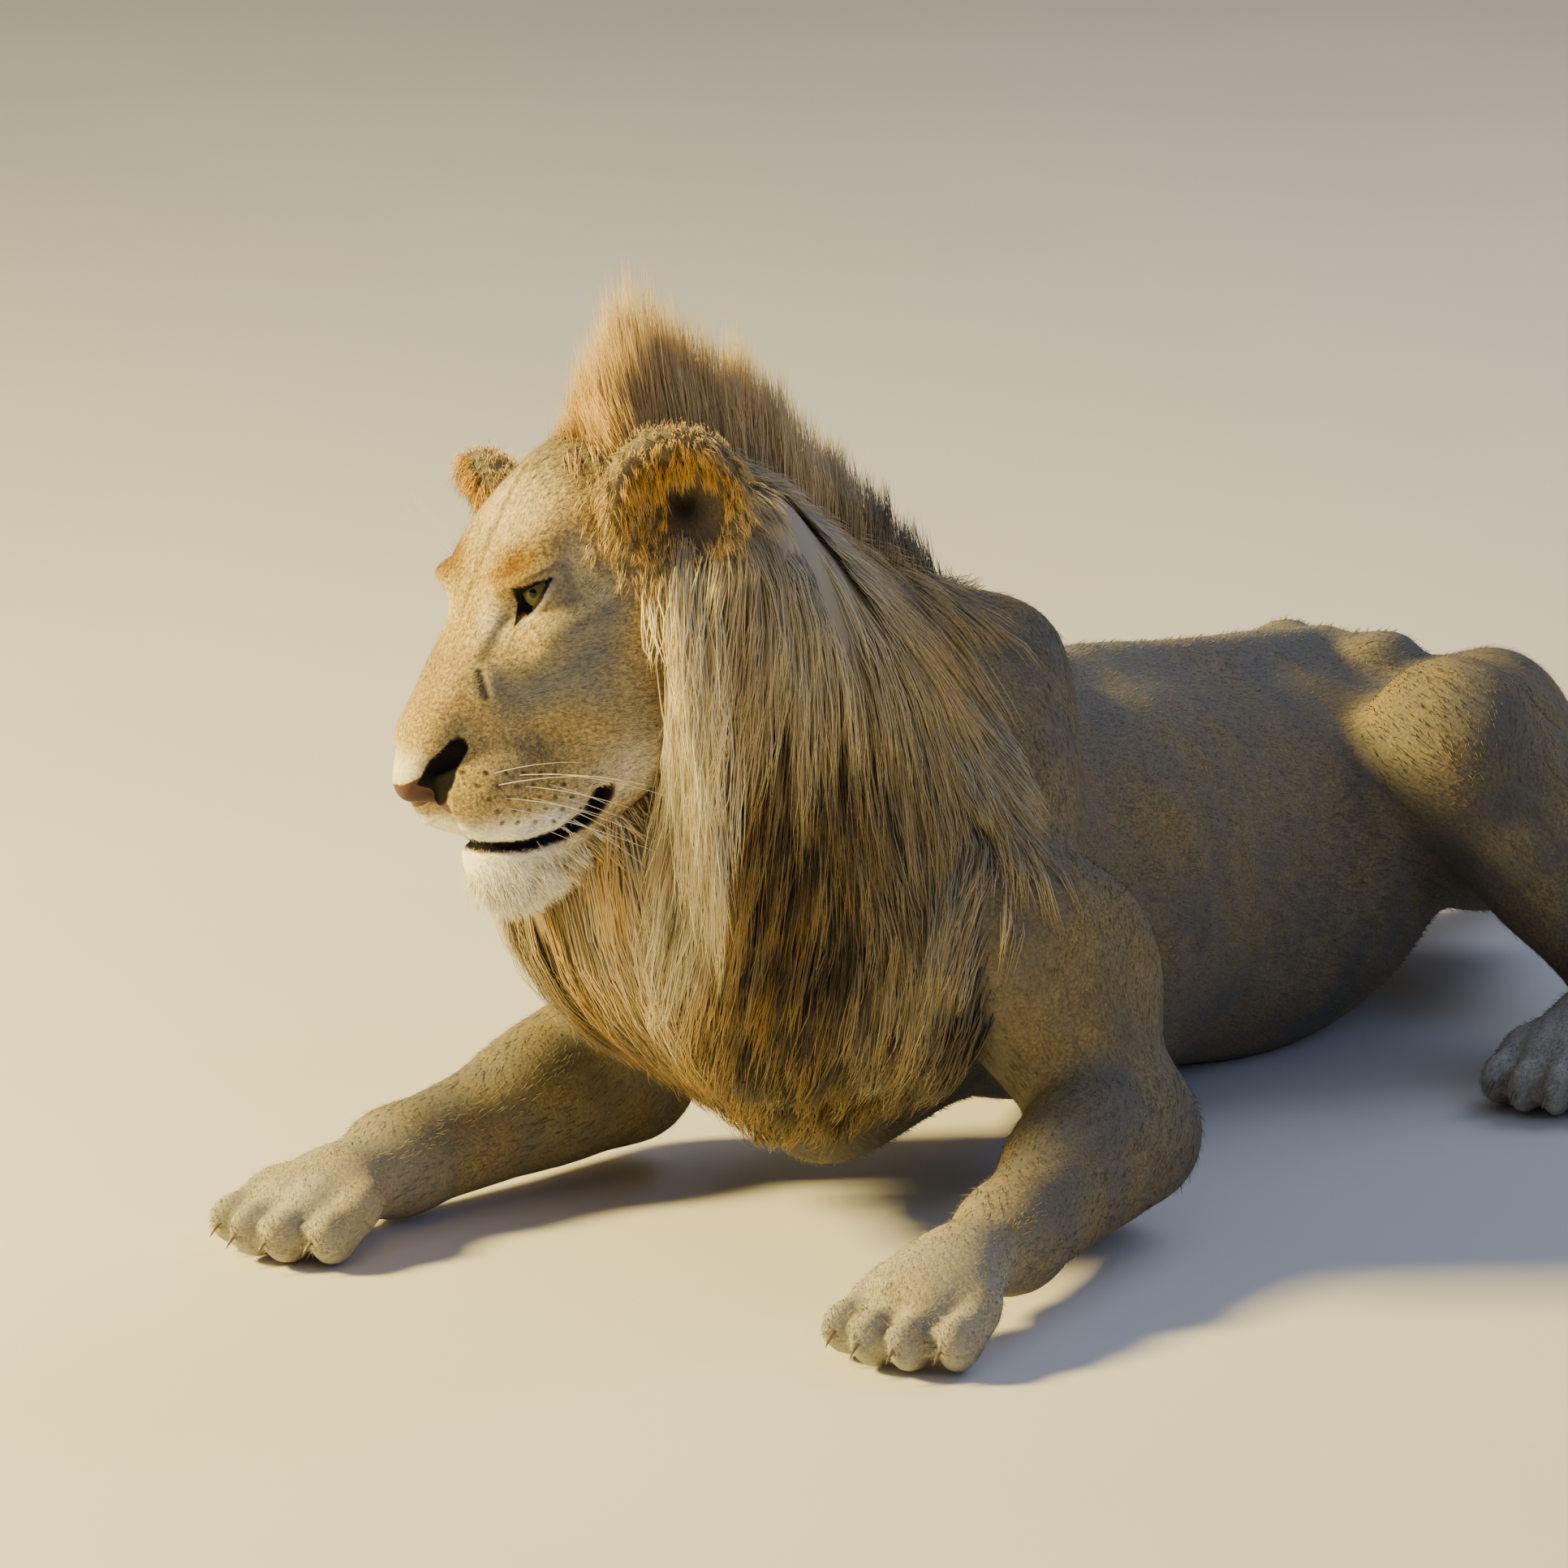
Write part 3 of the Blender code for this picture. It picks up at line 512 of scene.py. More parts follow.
camera = bpy.data.objects.new("camera", bpy.data.cameras.new("camera"))
camera.data.lens = LENS_MM
camera.data.clip_end = 100
aimed(camera, VIEW_AIM, VIEW_TURN, VIEW_RISE, VIEW_AWAY)
bpy.context.scene.camera = camera
print("camera", [round(v, 3) for v in camera.location])

# %% Floor
bm = bmesh.new()
bmesh.ops.create_circle(bm, cap_ends=True, segments=96, radius=24)
floor_mesh = bpy.data.meshes.new("studio_floor")
bm.to_mesh(floor_mesh)
bm.free()
floor = bpy.data.objects.new("studio_floor", floor_mesh)
bpy.context.scene.collection.objects.link(floor)
floor_mesh.materials.append(mottled("pale_plaster_floor", 1.5, 4, "#D9D5CC", "#E4E1DA", {"Roughness": 0.9}))
print("floor", round(floor.dimensions.x, 1), "m across")


# %% Lamps
CHEST = (0, 0, 0.4)


def lamp(name, turn, rise, away, size, power, colour):
    """A square lamp that looks at the lion's chest from a turn about it and a rise above the floor."""
    light = bpy.data.lights.new(name, "AREA")
    light.size, light.energy, light.color = size, power, linear(colour)[:3]
    aimed(bpy.data.objects.new(name, light), CHEST, turn, rise, away)


lamp("low_sun", -56, 31, 6.0, 1.2, 1400, "#FFE48C")
lamp("camera_fill", 70, 30, 7.0, 4.0, 85, "#9DB6FF")
lamp("far_fill", 170, 40, 7.0, 4.0, 150, "#D2DEFF")
world = bpy.data.worlds.new("pale_room")
world.use_nodes = True
world.node_tree.nodes["Background"].inputs["Color"].default_value = linear("#D0D8E6")
world.node_tree.nodes["Background"].inputs["Strength"].default_value = 0.28
bpy.context.scene.world = world

# %% [markdown]
# ## Where the coat is deep, and what colour it is
# Both are formulas of the place on the body, read by the skin and by every tuft, so that the hair that
# grows from a patch always has the patch's own colour. Hair is six millimetres deep on the body, half that
# on the head and feet, and about one on the muzzle. The markings are soft patches named for where they
# lie; some of the greys and darks among them are painted shade.

# %% Depth of the coat
PAWS = [np.array(leg[3]) for leg in LEGS]
EAR_MIDDLES = [np.array(HEAD @ Vector(EARS[side][0])) for side in (1, -1)]


def in_axes(p, axes):
    """Places in the axes that a matrix stands for."""
    return (p - np.array(axes.translation)) @ np.array(axes.to_3x3())


def out_of_axes(q, axes):
    """The way back."""
    return q @ np.array(axes.to_3x3()).T + np.array(axes.translation)


def in_head(p):
    return in_axes(p, HEAD)


def near_to(p, places, low, high):
    """1 within low of any of the places, 0 beyond high."""
    nearest = np.min([np.linalg.norm(p - place, axis=1) for place in places], axis=0)
    return fade(nearest, low, high)


def head_share(p):
    return near_to(in_head(p), [np.array((-0.15, 0, 0))], 0.17, 0.22)


def muzzle_share(p):
    return near_to(in_head(p), [np.array((-0.04, 0, -0.03))], 0.07, 0.12)


def coat_depth(p):
    """Metres from the skin to the outside of the coat."""
    depth = np.full(len(p), 0.006)
    for share, value in (
        (head_share(p), 0.003), (muzzle_share(p), 0.0012), (near_to(p, PAWS, 0.10, 0.17), 0.003),
        (near_to(p, EAR_MIDDLES, 0.07, 0.09), 0.003),
        (near_to(in_head(p), [np.array((0, 0, -0.02))], 0.035, 0.05), 0.0003),
    ):
        depth += (value - depth) * share
    return depth


# %% Lines drawn on the face
def on_face(places):
    """Places in the head's axes moved on to the skin, and the way out there."""
    world = out_of_axes(places, HEAD)
    for _ in range(4):
        f, slope = field(world, SKIN)
        world = world - slope * (f + 0.002)[:, None]
    return world, slope


LIP = np.array((
    (-0.026, 0.000, -0.074), (-0.033, 0.016, -0.082), (-0.045, 0.032, -0.092), (-0.067, 0.050, -0.100),
    (-0.098, 0.062, -0.105), (-0.124, 0.073, -0.101), (-0.140, 0.079, -0.089),
))
TEAR_LINE = in_head(on_face(np.array((
    (-0.142, 0.052, 0.080), (-0.130, 0.050, 0.074), (-0.118, 0.050, 0.066), (-0.108, 0.050, 0.060),
)))[0])
SCAR = in_head(
    on_face(np.array(((-0.100, 0.049, 0.052), (-0.095, 0.052, 0.043), (-0.091, 0.056, 0.032))))[0]
)
NOSTRIL_SLIT = np.array(
    ((-0.012, 0.036, -0.037), (-0.020, 0.036, -0.020), (-0.036, 0.038, -0.006), (-0.054, 0.041, 0.003))
)


def line_distance(q, line):
    """Distance to a bent line, the share of it at the nearest point, and how far q is above that point."""
    best, share, above = np.full(len(q), 9.0), np.zeros(len(q)), np.zeros(len(q))
    for i, (a, b) in enumerate(zip(line, line[1:])):
        t = np.clip(((q - a) @ (b - a)) / ((b - a) @ (b - a)), 0, 1)
        off = q - a - t[:, None] * (b - a)
        d = np.linalg.norm(off, axis=1)
        closer = d < best
        best[closer], above[closer] = d[closer], off[closer, 2]
        share[closer] = (i + t[closer]) / (len(line) - 1)
    return best, share, above


def side_distance(q, line):
    """The same for places and a line of the face as they are seen from the side."""
    return line_distance(q * (1, 0, 1), line * (1, 0, 1))


def both_sides(p):
    """Places in the head's axes with the right half folded on to the left."""
    q = in_head(p)
    q[:, 1] = np.abs(q[:, 1])
    return q


PAD_ROWS, PAD_STEPS, SPOT_GAP, FIRST_ROW = 5, 6, 0.0135, -0.016
# roots of the whiskers, forward and up: rows that run back and down over the pad of the lip
SPOTS = np.array([
    (-0.046 - SPOT_GAP * step - 0.002 * row, FIRST_ROW - SPOT_GAP * row - 0.0075 * step)
    for row in range(PAD_ROWS) for step in range(PAD_STEPS)
])


def eye_frame(side):
    """Axes at the middle of an eye: x along the slit to the inner corner, y up, z the way it looks."""
    look = Vector((0.84, 0.54 * side, 0)).normalized()
    inner = Vector((look.y, -look.x, 0)) * side
    tilt = math.radians(33)
    along = inner * math.cos(tilt) - Vector((0, 0, 1)) * math.sin(tilt)
    up = along.cross(look) * side
    axes = Matrix((along, up, look)).transposed().to_4x4()
    axes.translation = Vector((BALL[0], BALL[1] * side, BALL[2]))
    return HEAD @ axes


SLIT = 0.0180  # half the width of the opening between the lids
LIDS = np.array((  # along the slit towards the inner corner, edge of the upper lid, edge of the lower
    (-0.0180, 0.0004, 0.0004), (-0.0155, 0.0036, -0.0007), (-0.0125, 0.0068, -0.0014),
    (-0.0071, 0.0112, -0.0023), (-0.0030, 0.0137, -0.0027), (0.0007, 0.0150, -0.0029),
    (0.0045, 0.0152, -0.0029), (0.0080, 0.0144, -0.0028), (0.0115, 0.0126, -0.0025),
    (0.0145, 0.0098, -0.0021), (0.0168, 0.0064, -0.0016), (0.0180, 0.0030, -0.0012),
))


def opening(x):
    """Heights of the upper and lower lid's edge along the slit."""
    return np.interp(x, LIDS[:, 0], LIDS[:, 1]), np.interp(x, LIDS[:, 0], LIDS[:, 2])


def in_eye(p, side):
    """Places in an eye's axes, and how far inside the opening of the lids they are."""
    e = in_axes(p, eye_frame(side))
    top, low = opening(e[:, 0])
    return e, np.minimum(np.minimum(top - e[:, 1], e[:, 1] - low), SLIT - np.abs(e[:, 0]))


def before_eye(e):
    """Whether places in an eye's axes are on its front and close to it."""
    return (e[:, 2] > 0) & (np.linalg.norm(e, axis=1) < 0.045)


def black_corner(e):
    """How far inside the black wedge between ball and bridge of the nose, which ends in the tear duct; it is
    partly black skin and partly painted shadow of the brow.
    """
    bridge_edge = (0.0223 - 0.65 * e[:, 0] - e[:, 1]) / 1.19
    brow_edge = (0.0223 + 1.50 * e[:, 0] - e[:, 1]) / 1.80
    low_edge = e[:, 1] + 0.0027 - 0.14 * (e[:, 0] - 0.0098)
    return np.min([bridge_edge, brow_edge, low_edge, e[:, 0] + 0.008], axis=0)


# %% The markings
def clipped(**amounts):
    """Marks by their names, each from 0 to 1."""
    return {name: np.clip(amount, 0, 1) for name, amount in amounts.items()}


def add_mark(marks, name, amount):
    marks[name] = np.clip(marks[name] + amount, 0, 1)


def patch(q, centre, radii):
    """A soft spot, 1 in its middle."""
    return np.exp(-(((q - np.array(centre)) / np.array(radii)) ** 2).sum(1))


FACE_MARKS = (  # what, how strong, where in the head's axes, and how far it reaches
    ("pale", 1.50, (-0.060, 0.010, -0.122), (0.050, 0.055, 0.030)),  # chin
    ("pale", 1.30, (-0.036, 0.030, -0.072), (0.032, 0.030, 0.016)),  # front of the upper lip
    ("pale", 0.95, (-0.080, 0.055, -0.090), (0.036, 0.030, 0.012)),  # edge of the lip
    ("pale", 0.75, (-0.012, 0.004, 0.004), (0.020, 0.020, 0.014)),  # above the nose
    ("pale", 0.35, (-0.128, 0.045, 0.084), (0.018, 0.012, 0.018)),  # between eye and bridge
    ("pale", 0.40, (-0.180, 0.090, -0.085), (0.050, 0.030, 0.026)),  # jaw
    ("pale", 0.22, (-0.205, 0.010, 0.140), (0.045, 0.040, 0.026)),  # forehead
    ("gold", 0.45, (-0.085, 0.018, 0.055), (0.055, 0.026, 0.030)),  # top of the muzzle
    ("gold", 0.80, (-0.167, 0.054, 0.114), (0.028, 0.028, 0.013)),  # brow
    ("pale", -0.20, (-0.165, 0.052, 0.115), (0.026, 0.026, 0.014)),
    ("gold", 0.25, (-0.210, 0.050, 0.140), (0.050, 0.050, 0.030)),  # side of the forehead
    ("gold", 0.35, (-0.200, 0.100, -0.040), (0.050, 0.030, 0.050)),  # low on the cheek
    # The greys behind the eye, under the cheekbone, in the hollow beside the muzzle and over the cheek are
    # partly the face's own grey-brown and partly painted shade: under the brow and cheekbone, in the hollow,
    # and where the cheek turns from the lamp.
    ("grey", 1.15, (-0.200, 0.098, 0.078), (0.034, 0.030, 0.026)),  # behind the eye
    ("grey", 1.00, (-0.186, 0.096, 0.046), (0.032, 0.030, 0.024)),  # under the cheekbone
    ("grey", 0.95, (-0.124, 0.066, 0.018), (0.026, 0.030, 0.026)),  # hollow beside the muzzle
    ("grey", 0.75, (-0.104, 0.052, 0.044), (0.018, 0.020, 0.022)),  # about the scar
    ("grey", 0.80, (-0.165, 0.090, 0.005), (0.045, 0.030, 0.034)),  # middle of the cheek
    ("grey", 0.55, (-0.200, 0.100, -0.050), (0.050, 0.030, 0.040)),
    ("grey", 0.40, (-0.056, 0.036, 0.010), (0.024, 0.020, 0.014)),  # above the nostril
    ("grey", 0.35, (-0.080, 0.055, -0.040), (0.034, 0.030, 0.020)),  # pad of the whiskers
)
FACE_MARK_CENTRES = in_head(on_face(np.array([row[2] for row in FACE_MARKS]))[0])


def markings(p):
    """How pale, golden, grey and dark the coat is at each place, and where the skin is bare; some of the
    grey and dark is painted shade.
    """
    q, m = in_head(p), both_sides(p)
    x, y, z = p.T
    qx, qy, qz = q.T
    mx, my, mz = m.T
    head = head_share(p)
    body_part = 1 - head
    ears_gold = 0.6 * near_to(p, EAR_MIDDLES, 0.055, 0.085)
    amounts = {"pale": 0.10 * head, "gold": ears_gold, "grey": np.zeros(len(p))}
    for (mark, strength, _, reach), centre in zip(FACE_MARKS, FACE_MARK_CENTRES):
        amounts[mark] = amounts[mark] + strength * patch(m, centre, reach)
    pale, gold, grey = (amounts[mark] for mark in ("pale", "gold", "grey"))
    dark = np.zeros(len(p))
    lip, share, above = side_distance(m, LIP)
    band = 0.0040 + 0.009 * share**1.5
    lips = fade(lip, band * 0.7, band * 1.2) * (above < 0.0030) * (my < 0.095)
    dark += lips
    near_spot = np.min([np.hypot(mx - a, mz - b) for a, b in SPOTS], axis=0)
    dark += 0.85 * fade(near_spot, 0.0014, 0.0034) * (my > 0.025) * (mz > -0.105)
    for line, reach, strength in ((TEAR_LINE, 0.0056, 0.38), (SCAR, 0.0027, 0.85)):
        away = side_distance(m, line)[0]
        dark += strength * fade(away, reach * 0.4, reach * 1.2) * (my > 0.025)
    slit, share, _ = side_distance(m, NOSTRIL_SLIT)
    half = 0.0085 + 0.0060 * share * (1 - share)
    nostril = fade(slit, half, half + 0.0015) * (my > 0.022 - 0.010 * share) * (my < 0.060)
    dark += nostril
    crease = np.exp(-((qy / 0.004) ** 2)) * soft_step(qz, 0.085, 0.10) * soft_step(-qx, 0.11, 0.14)
    dark += 0.5 * crease * fade(-qx, 0.22, 0.26)
    dark += np.exp(-((qy / 0.0022) ** 2)) * (qz > -0.078) * (qz < -0.036) * (qx > -0.03)  # under the nose
    lid, duct = np.zeros(len(p)), np.zeros(len(p))
    for side in (1, -1):
        e, inside = in_eye(p, side)
        ex, ey, _ = e.T
        front = before_eye(e)
        # The upper lid's broader black edge is partly its own black rim and partly painted shadow of the
        # brow that hangs over it.
        width = 0.0011 + 0.0013 * soft_step(ey, 0.002, 0.006)  # the upper lid's black edge is the broader
        lid = np.maximum(lid, soft_step(inside / width, -2.0, -1.0) * front * (np.abs(ex) < 0.021))
        haw = 0.5 * np.exp(-(((ex - 0.0214) / 0.0050) ** 2) - ((ey + 0.0005) / 0.0030) ** 2)
        # the wedge is black skin and tear duct, and partly painted shadow of the brow
        black = soft_step(black_corner(e), -0.0004, 0.0008) * front
        duct, dark = np.maximum(duct, black), dark - haw * black
        pale += 0.75 * np.exp(-(((ey + 0.0058) / 0.0024) ** 2) - ((ex - 0.006) / 0.020) ** 2) * front
        # grey beyond the outer corner of the eye: partly the face's own grey-brown, partly painted shade
        # under the brow
        grey += (
            0.6 * np.exp(-((ey / 0.012) ** 2) - ((ex + 0.034) / 0.014) ** 2)
            * (np.linalg.norm(e, axis=1) < 0.06)
        )
    dark += lid + duct
    nose = soft_step(mx, -0.040, -0.034) * (mz < -0.009 - 0.10 * my - 0.25 * mx)
    nose = nose * (mz > -0.042 - 0.1 * my) * (my < 0.036)
    bare = np.clip(nose + nostril + lid + duct + lips, 0, 1)
    # the body: a little darker along the back; grey all over, partly the coat's own tawny grey and partly
    # painted shade; greyer low on the legs and over the hindquarters; pale towards the paws
    saddle = 0.08 * soft_step(z, 0.30, 0.42) * soft_step(y, 0.05, 0.25) * fade(y, 0.75, 0.9)
    grey += body_part * (0.76 + saddle)
    cut = np.stack([x, z], 1)
    ridge = 0.30 * body_part * patch(cut, (0, 0.46), (0.035, 0.10))
    dark += ridge * soft_step(y, 0.0, 0.2) * fade(y, 0.6, 0.8)
    # painted shade under the chest, between the forelegs
    brisket = patch(p, (0.0, -0.02, 0.10), (0.13, 0.18, 0.07))
    dark += 0.5 * brisket
    grey += brisket
    gold += 0.8 * patch(np.stack([np.abs(x), y, z], 1), (0.12, 0.20, 0.43), (0.06, 0.030, 0.08))
    legs = fade(z, 0.10, 0.30)
    grey = grey * (1 + 0.14 * body_part * np.maximum(legs, soft_step(y, 0.60, 0.78)))
    pale += 0.26 * near_to(p, PAWS, 0.05, 0.26)
    # painted light: the top of the back is paler, as light from above makes it look
    pale += 0.20 * body_part * patch(cut, (0, 0.46), (0.12, 0.10)) * soft_step(y, 0.2, 0.4)
    return clipped(pale=pale, gold=gold, grey=grey, dark=dark, bare=bare)


print("whisker roots a side", len(SPOTS))

# %% [markdown]
# ## The skin
# One skin covers head, neck, trunk, legs, tail and ears, with no seam. The plain shapes are joined by a
# voxel remesh, the face and feet are divided finer, and every point is then moved on to the blended
# surface, inside the coat by its depth. A remesh is used because it makes one even skin from any number of
# overlapping shapes.

# %% Mesh tools
def rough_mesh(masses, cuts=False):
    """The plain primitives, overlapping, before they are made one."""
    bm = bmesh.new()
    for mass in masses:
        if mass.cut != cuts:
            continue
        if mass.kind == "egg":
            size = Matrix.Diagonal((*mass.radii, 1))
            where = Matrix.Translation(Vector(mass.middle)) @ Matrix(mass.axes.tolist()).to_4x4() @ size
            bmesh.ops.create_icosphere(bm, subdivisions=3, radius=1, matrix=where)
            continue
        a, b = Vector(mass.start), Vector(mass.end)
        for centre, radius in ((a, mass.r_start), (b, mass.r_end)):
            bmesh.ops.create_icosphere(bm, subdivisions=3, radius=radius, matrix=Matrix.Translation(centre))
        turn = (b - a).to_track_quat("Z", "Y").to_matrix().to_4x4()
        bmesh.ops.create_cone(
            bm, cap_ends=True, segments=24, radius1=mass.r_start, radius2=mass.r_end,
            depth=(b - a).length, matrix=Matrix.Translation((a + b) / 2) @ turn,
        )
    mesh = bpy.data.meshes.new("rough")
    bm.to_mesh(mesh)
    bm.free()
    return mesh


def apply_modifiers(obj):
    graph = bpy.context.evaluated_depsgraph_get()
    mesh = bpy.data.meshes.new_from_object(obj.evaluated_get(graph))
    obj.modifiers.clear()
    obj.data = mesh


def read(items, what, width, kind=np.int32):
    """A row of numbers for every item of a mesh."""
    values = np.empty(len(items) * width, kind)
    items.foreach_get(what, values)
    return values.reshape(-1, width)


def coordinates(mesh):
    return read(mesh.vertices, "co", 3, np.float32).astype(float)


def relax(p, ends, share):
    """Each point moved part of the way to the middle of its neighbours."""
    total = np.empty_like(p)
    for axis in range(3):
        total[:, axis] = np.bincount(ends[:, 0], p[ends[:, 1], axis], len(p))
        total[:, axis] += np.bincount(ends[:, 1], p[ends[:, 0], axis], len(p))
    count = np.maximum(np.bincount(ends.ravel(), minlength=len(p)), 1)
    return p + share * (total / count[:, None] - p)


def settle(p, masses, depth):
    """Points moved on to the blended surface, each at its own depth inside it."""
    for _ in range(2):
        f, slope = field(p, masses)
        p = p - slope * np.clip(f + depth, -0.02, 0.02)[:, None]
    return p


def smoothed(mesh, masses, depth_of):
    """The points of a mesh, settled and relaxed by turns. depth_of gives the depth for each."""
    p, ends = coordinates(mesh), read(mesh.edges, "vertices", 2)
    for _ in range(2):
        p = relax(settle(p, masses, depth_of(p)), ends, 0.5)
    return settle(p, masses, depth_of(p))


def refine(mesh, centre, radius):
    """Every face near a point divided once, so that small forms have points to be made of."""
    bm = bmesh.new()
    bm.from_mesh(mesh)
    near = [e for e in bm.edges if all((v.co - centre).length < radius for v in e.verts)]
    bmesh.ops.subdivide_edges(bm, edges=near, cuts=1, use_grid_fill=True)
    bmesh.ops.triangulate(bm, faces=[f for f in bm.faces if len(f.verts) > 4])
    bm.to_mesh(mesh)
    bm.free()


def piece(name, mesh, materials):
    """A shown piece, moved into the frame and riding on it."""
    obj = bpy.data.objects.new(name, mesh)
    bpy.context.scene.collection.objects.link(obj)
    mesh.transform(Matrix.Translation(Vector(SHIFT)))
    mesh.shade_smooth()
    for material in materials:
        mesh.materials.append(material)
    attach(obj, "root")
    return obj


def set_marks(mesh, marks):
    """Numbers stored at each point, for a material to read."""
    for name, values in marks.items():
        layer = mesh.attributes.new(name, "FLOAT", "POINT")
        layer.data.foreach_set("value", np.asarray(values, np.float32))


# %% The plain shapes made one
SKIN_VOXEL, UNDERCOAT_VOXEL = 0.0102, 0.010


def carved(name, masses, voxel, bowls=()):
    """Overlapping shapes joined by a remesh, with bowls cut out of them."""
    obj = bpy.data.objects.new(name, rough_mesh(masses))
    bpy.context.scene.collection.objects.link(obj)
    for bowl in (None, *bowls):
        if bowl:
            cutter = bpy.data.objects.new("bowl", rough_mesh([bowl], True))
            bpy.context.scene.collection.objects.link(cutter)
            cut = obj.modifiers.new("Boolean", "BOOLEAN")
            cut.object, cut.operation, cut.solver = cutter, "DIFFERENCE", "MANIFOLD"
        remesh = obj.modifiers.new("Remesh", "REMESH")
        remesh.mode, remesh.voxel_size = "VOXEL", voxel
        apply_modifiers(obj)
        if bowl:
            bpy.data.objects.remove(cutter)
    mesh = obj.data
    mesh.materials.clear()
    bpy.data.objects.remove(obj)
    return mesh


skin_mesh = carved("skin", SKIN, SKIN_VOXEL, [mass for mass in SKIN if "hollow" in mass.name])
print("skin points at first", len(skin_mesh.vertices))

# %% Finer where the forms are small
FINER = (  # place in the head's axes, on both sides if it is off the middle, and how far about it
    (-0.15, 0, 0.01, 0.19), (-0.09, 0, 0.00, 0.125), (-0.03, 0.03, -0.03, 0.045),
    (-0.125, 0.074, -0.096, 0.034),
    *[(BALL[0] + 0.016, BALL[1] + 0.002, BALL[2], radius) for radius in (0.037, 0.029)],
)
for x, y, z, radius in FINER:
    for side in (1, -1) if y else (1,):
        refine(skin_mesh, HEAD @ Vector((x, y * side, z)), radius)
for places, radius in ((PAWS, 0.085), (EAR_MIDDLES, 0.075)):
    for place in places:
        refine(skin_mesh, Vector(place), radius)
p = smoothed(skin_mesh, SKIN, coat_depth)
print("skin points", len(p))

# %% [markdown]
# ## Folds of the face and body
# The blend is too smooth for a face, so the skin is now modelled as with a thumb: each touch is a soft push
# in or out, given as a place, a reach and a height. Lines such as the lips, the scar and the tear line are
# grooves. The lids are made by laying the skin on the eyeball round the slit, and tucking it behind the
# ball inside it.

# %% Touches
TOUCHES = (  # place and reach in the head's axes, and height, on both sides
    ((-0.012, 0.030, -0.022), (0.015, 0.014, 0.013), -0.0150),  # nostril
    ((-0.008, 0.000, -0.060), (0.032, 0.034, 0.020), -0.0300),  # lip drawn back under the nose
    ((-0.038, 0.038, -0.004), (0.020, 0.012, 0.008), -0.0070),  # the slit behind it
    ((-0.020, 0.036, -0.026), (0.014, 0.010, 0.010), 0.0022),  # wing of the nose
    ((-0.070, 0.055, -0.045), (0.036, 0.030, 0.026), 0.0040),  # pad of the lip
    ((-0.120, 0.070, -0.026), (0.014, 0.030, 0.034), -0.0040),  # hollow behind the pad
    ((-0.112, 0.058, 0.030), (0.014, 0.026, 0.024), -0.0050),  # hollow beside the bridge
    ((-0.080, 0.030, 0.048), (0.050, 0.010, 0.016), 0.0015),  # edge of the bridge
    ((-0.176, 0.092, 0.058), (0.034, 0.030, 0.010), 0.0045),  # cheekbone
    ((-0.166, 0.092, 0.030), (0.040, 0.030, 0.012), -0.0045),  # under the cheekbone
    ((-0.161, 0.070, 0.1075), (0.027, 0.028, 0.0065), 0.0115),  # brow, hanging over the lid
    ((-0.215, 0.078, 0.112), (0.030, 0.026, 0.020), -0.0060),  # temple
    ((-0.150, 0.074, 0.062), (0.020, 0.020, 0.008), 0.0025),  # bag under the eye
    ((-0.060, 0.000, -0.146), (0.030, 0.030, 0.016), 0.0040),  # chin
    ((-0.190, 0.000, 0.150), (0.050, 0.007, 0.030), -0.0030),  # groove between the brows
)
face = np.flatnonzero(head_share(p) > 0)
q = both_sides(p[face])
_, slope = field(p[face], SKIN)
height = np.zeros(len(face))
for (_, reach, rise), place in zip(TOUCHES, in_head(on_face(np.array([row[0] for row in TOUCHES]))[0])):
    height += rise * patch(q, place, reach)
lip, share, above = side_distance(q, LIP)
height -= (0.0050 + 0.004 * share) * np.exp(-((lip / (0.0032 + 0.003 * share)) ** 2))
height += 0.0028 * np.exp(-(((above - 0.009) / 0.006) ** 2) - (lip / 0.014) ** 2)
height += 0.0020 * np.exp(-(((above + 0.010) / 0.006) ** 2) - (lip / 0.014) ** 2) * (1 - share)
for line, reach, rise in ((TEAR_LINE, 0.004, -0.0026), (SCAR, 0.003, -0.0026)):
    away = side_distance(q, line)[0]
    height += rise * np.exp(-((away / reach) ** 2)) * (q[:, 1] > 0.025)
for a, b in SPOTS:
    pit = np.hypot(q[:, 0] - a, q[:, 2] - b)
    height -= 0.0007 * np.exp(-((pit / 0.0025) ** 2)) * (q[:, 1] > 0.025)
under_nose = (q[:, 2] < -0.030) * (q[:, 2] > -0.080) * (q[:, 0] > -0.03)
height -= 0.0015 * np.exp(-((q[:, 1] / 0.0022) ** 2)) * under_nose
p[face] += slope * height[:, None]
print(
    "touches", len(TOUCHES), "deepest", round(float(height.min()), 4), "highest",
    round(float(height.max()), 4)
)

# %% Lids laid on the eyeballs
LID = 0.0016  # how thick a lid is
for side in (1, -1):
    e, inside = in_eye(p, side)
    r = np.linalg.norm(e, axis=1)
    near = (e[:, 2] > 0.002) & (r < EYE_RADIUS + 0.022)
    out = near & (inside <= 0)
    reach = 0.012 - 0.005 * soft_step(e[out, 1], -0.002, 0.006)  # the brow hangs close over the upper lid
    close = fade(-inside[out] / reach, 0.0, 1.0)
    laid = r[out] + (EYE_RADIUS + LID - r[out]) * close
    ball = near & (inside > 0)
    scale = np.ones(len(p))
    scale[out] = np.maximum(laid, EYE_RADIUS + LID * 0.8) / r[out]
    scale[ball] = (EYE_RADIUS - 0.0035) / r[ball]
    p = out_of_axes(e * scale[:, None], eye_frame(side))
p[:, 2] = np.maximum(p[:, 2], 0.0)
print("lids laid")

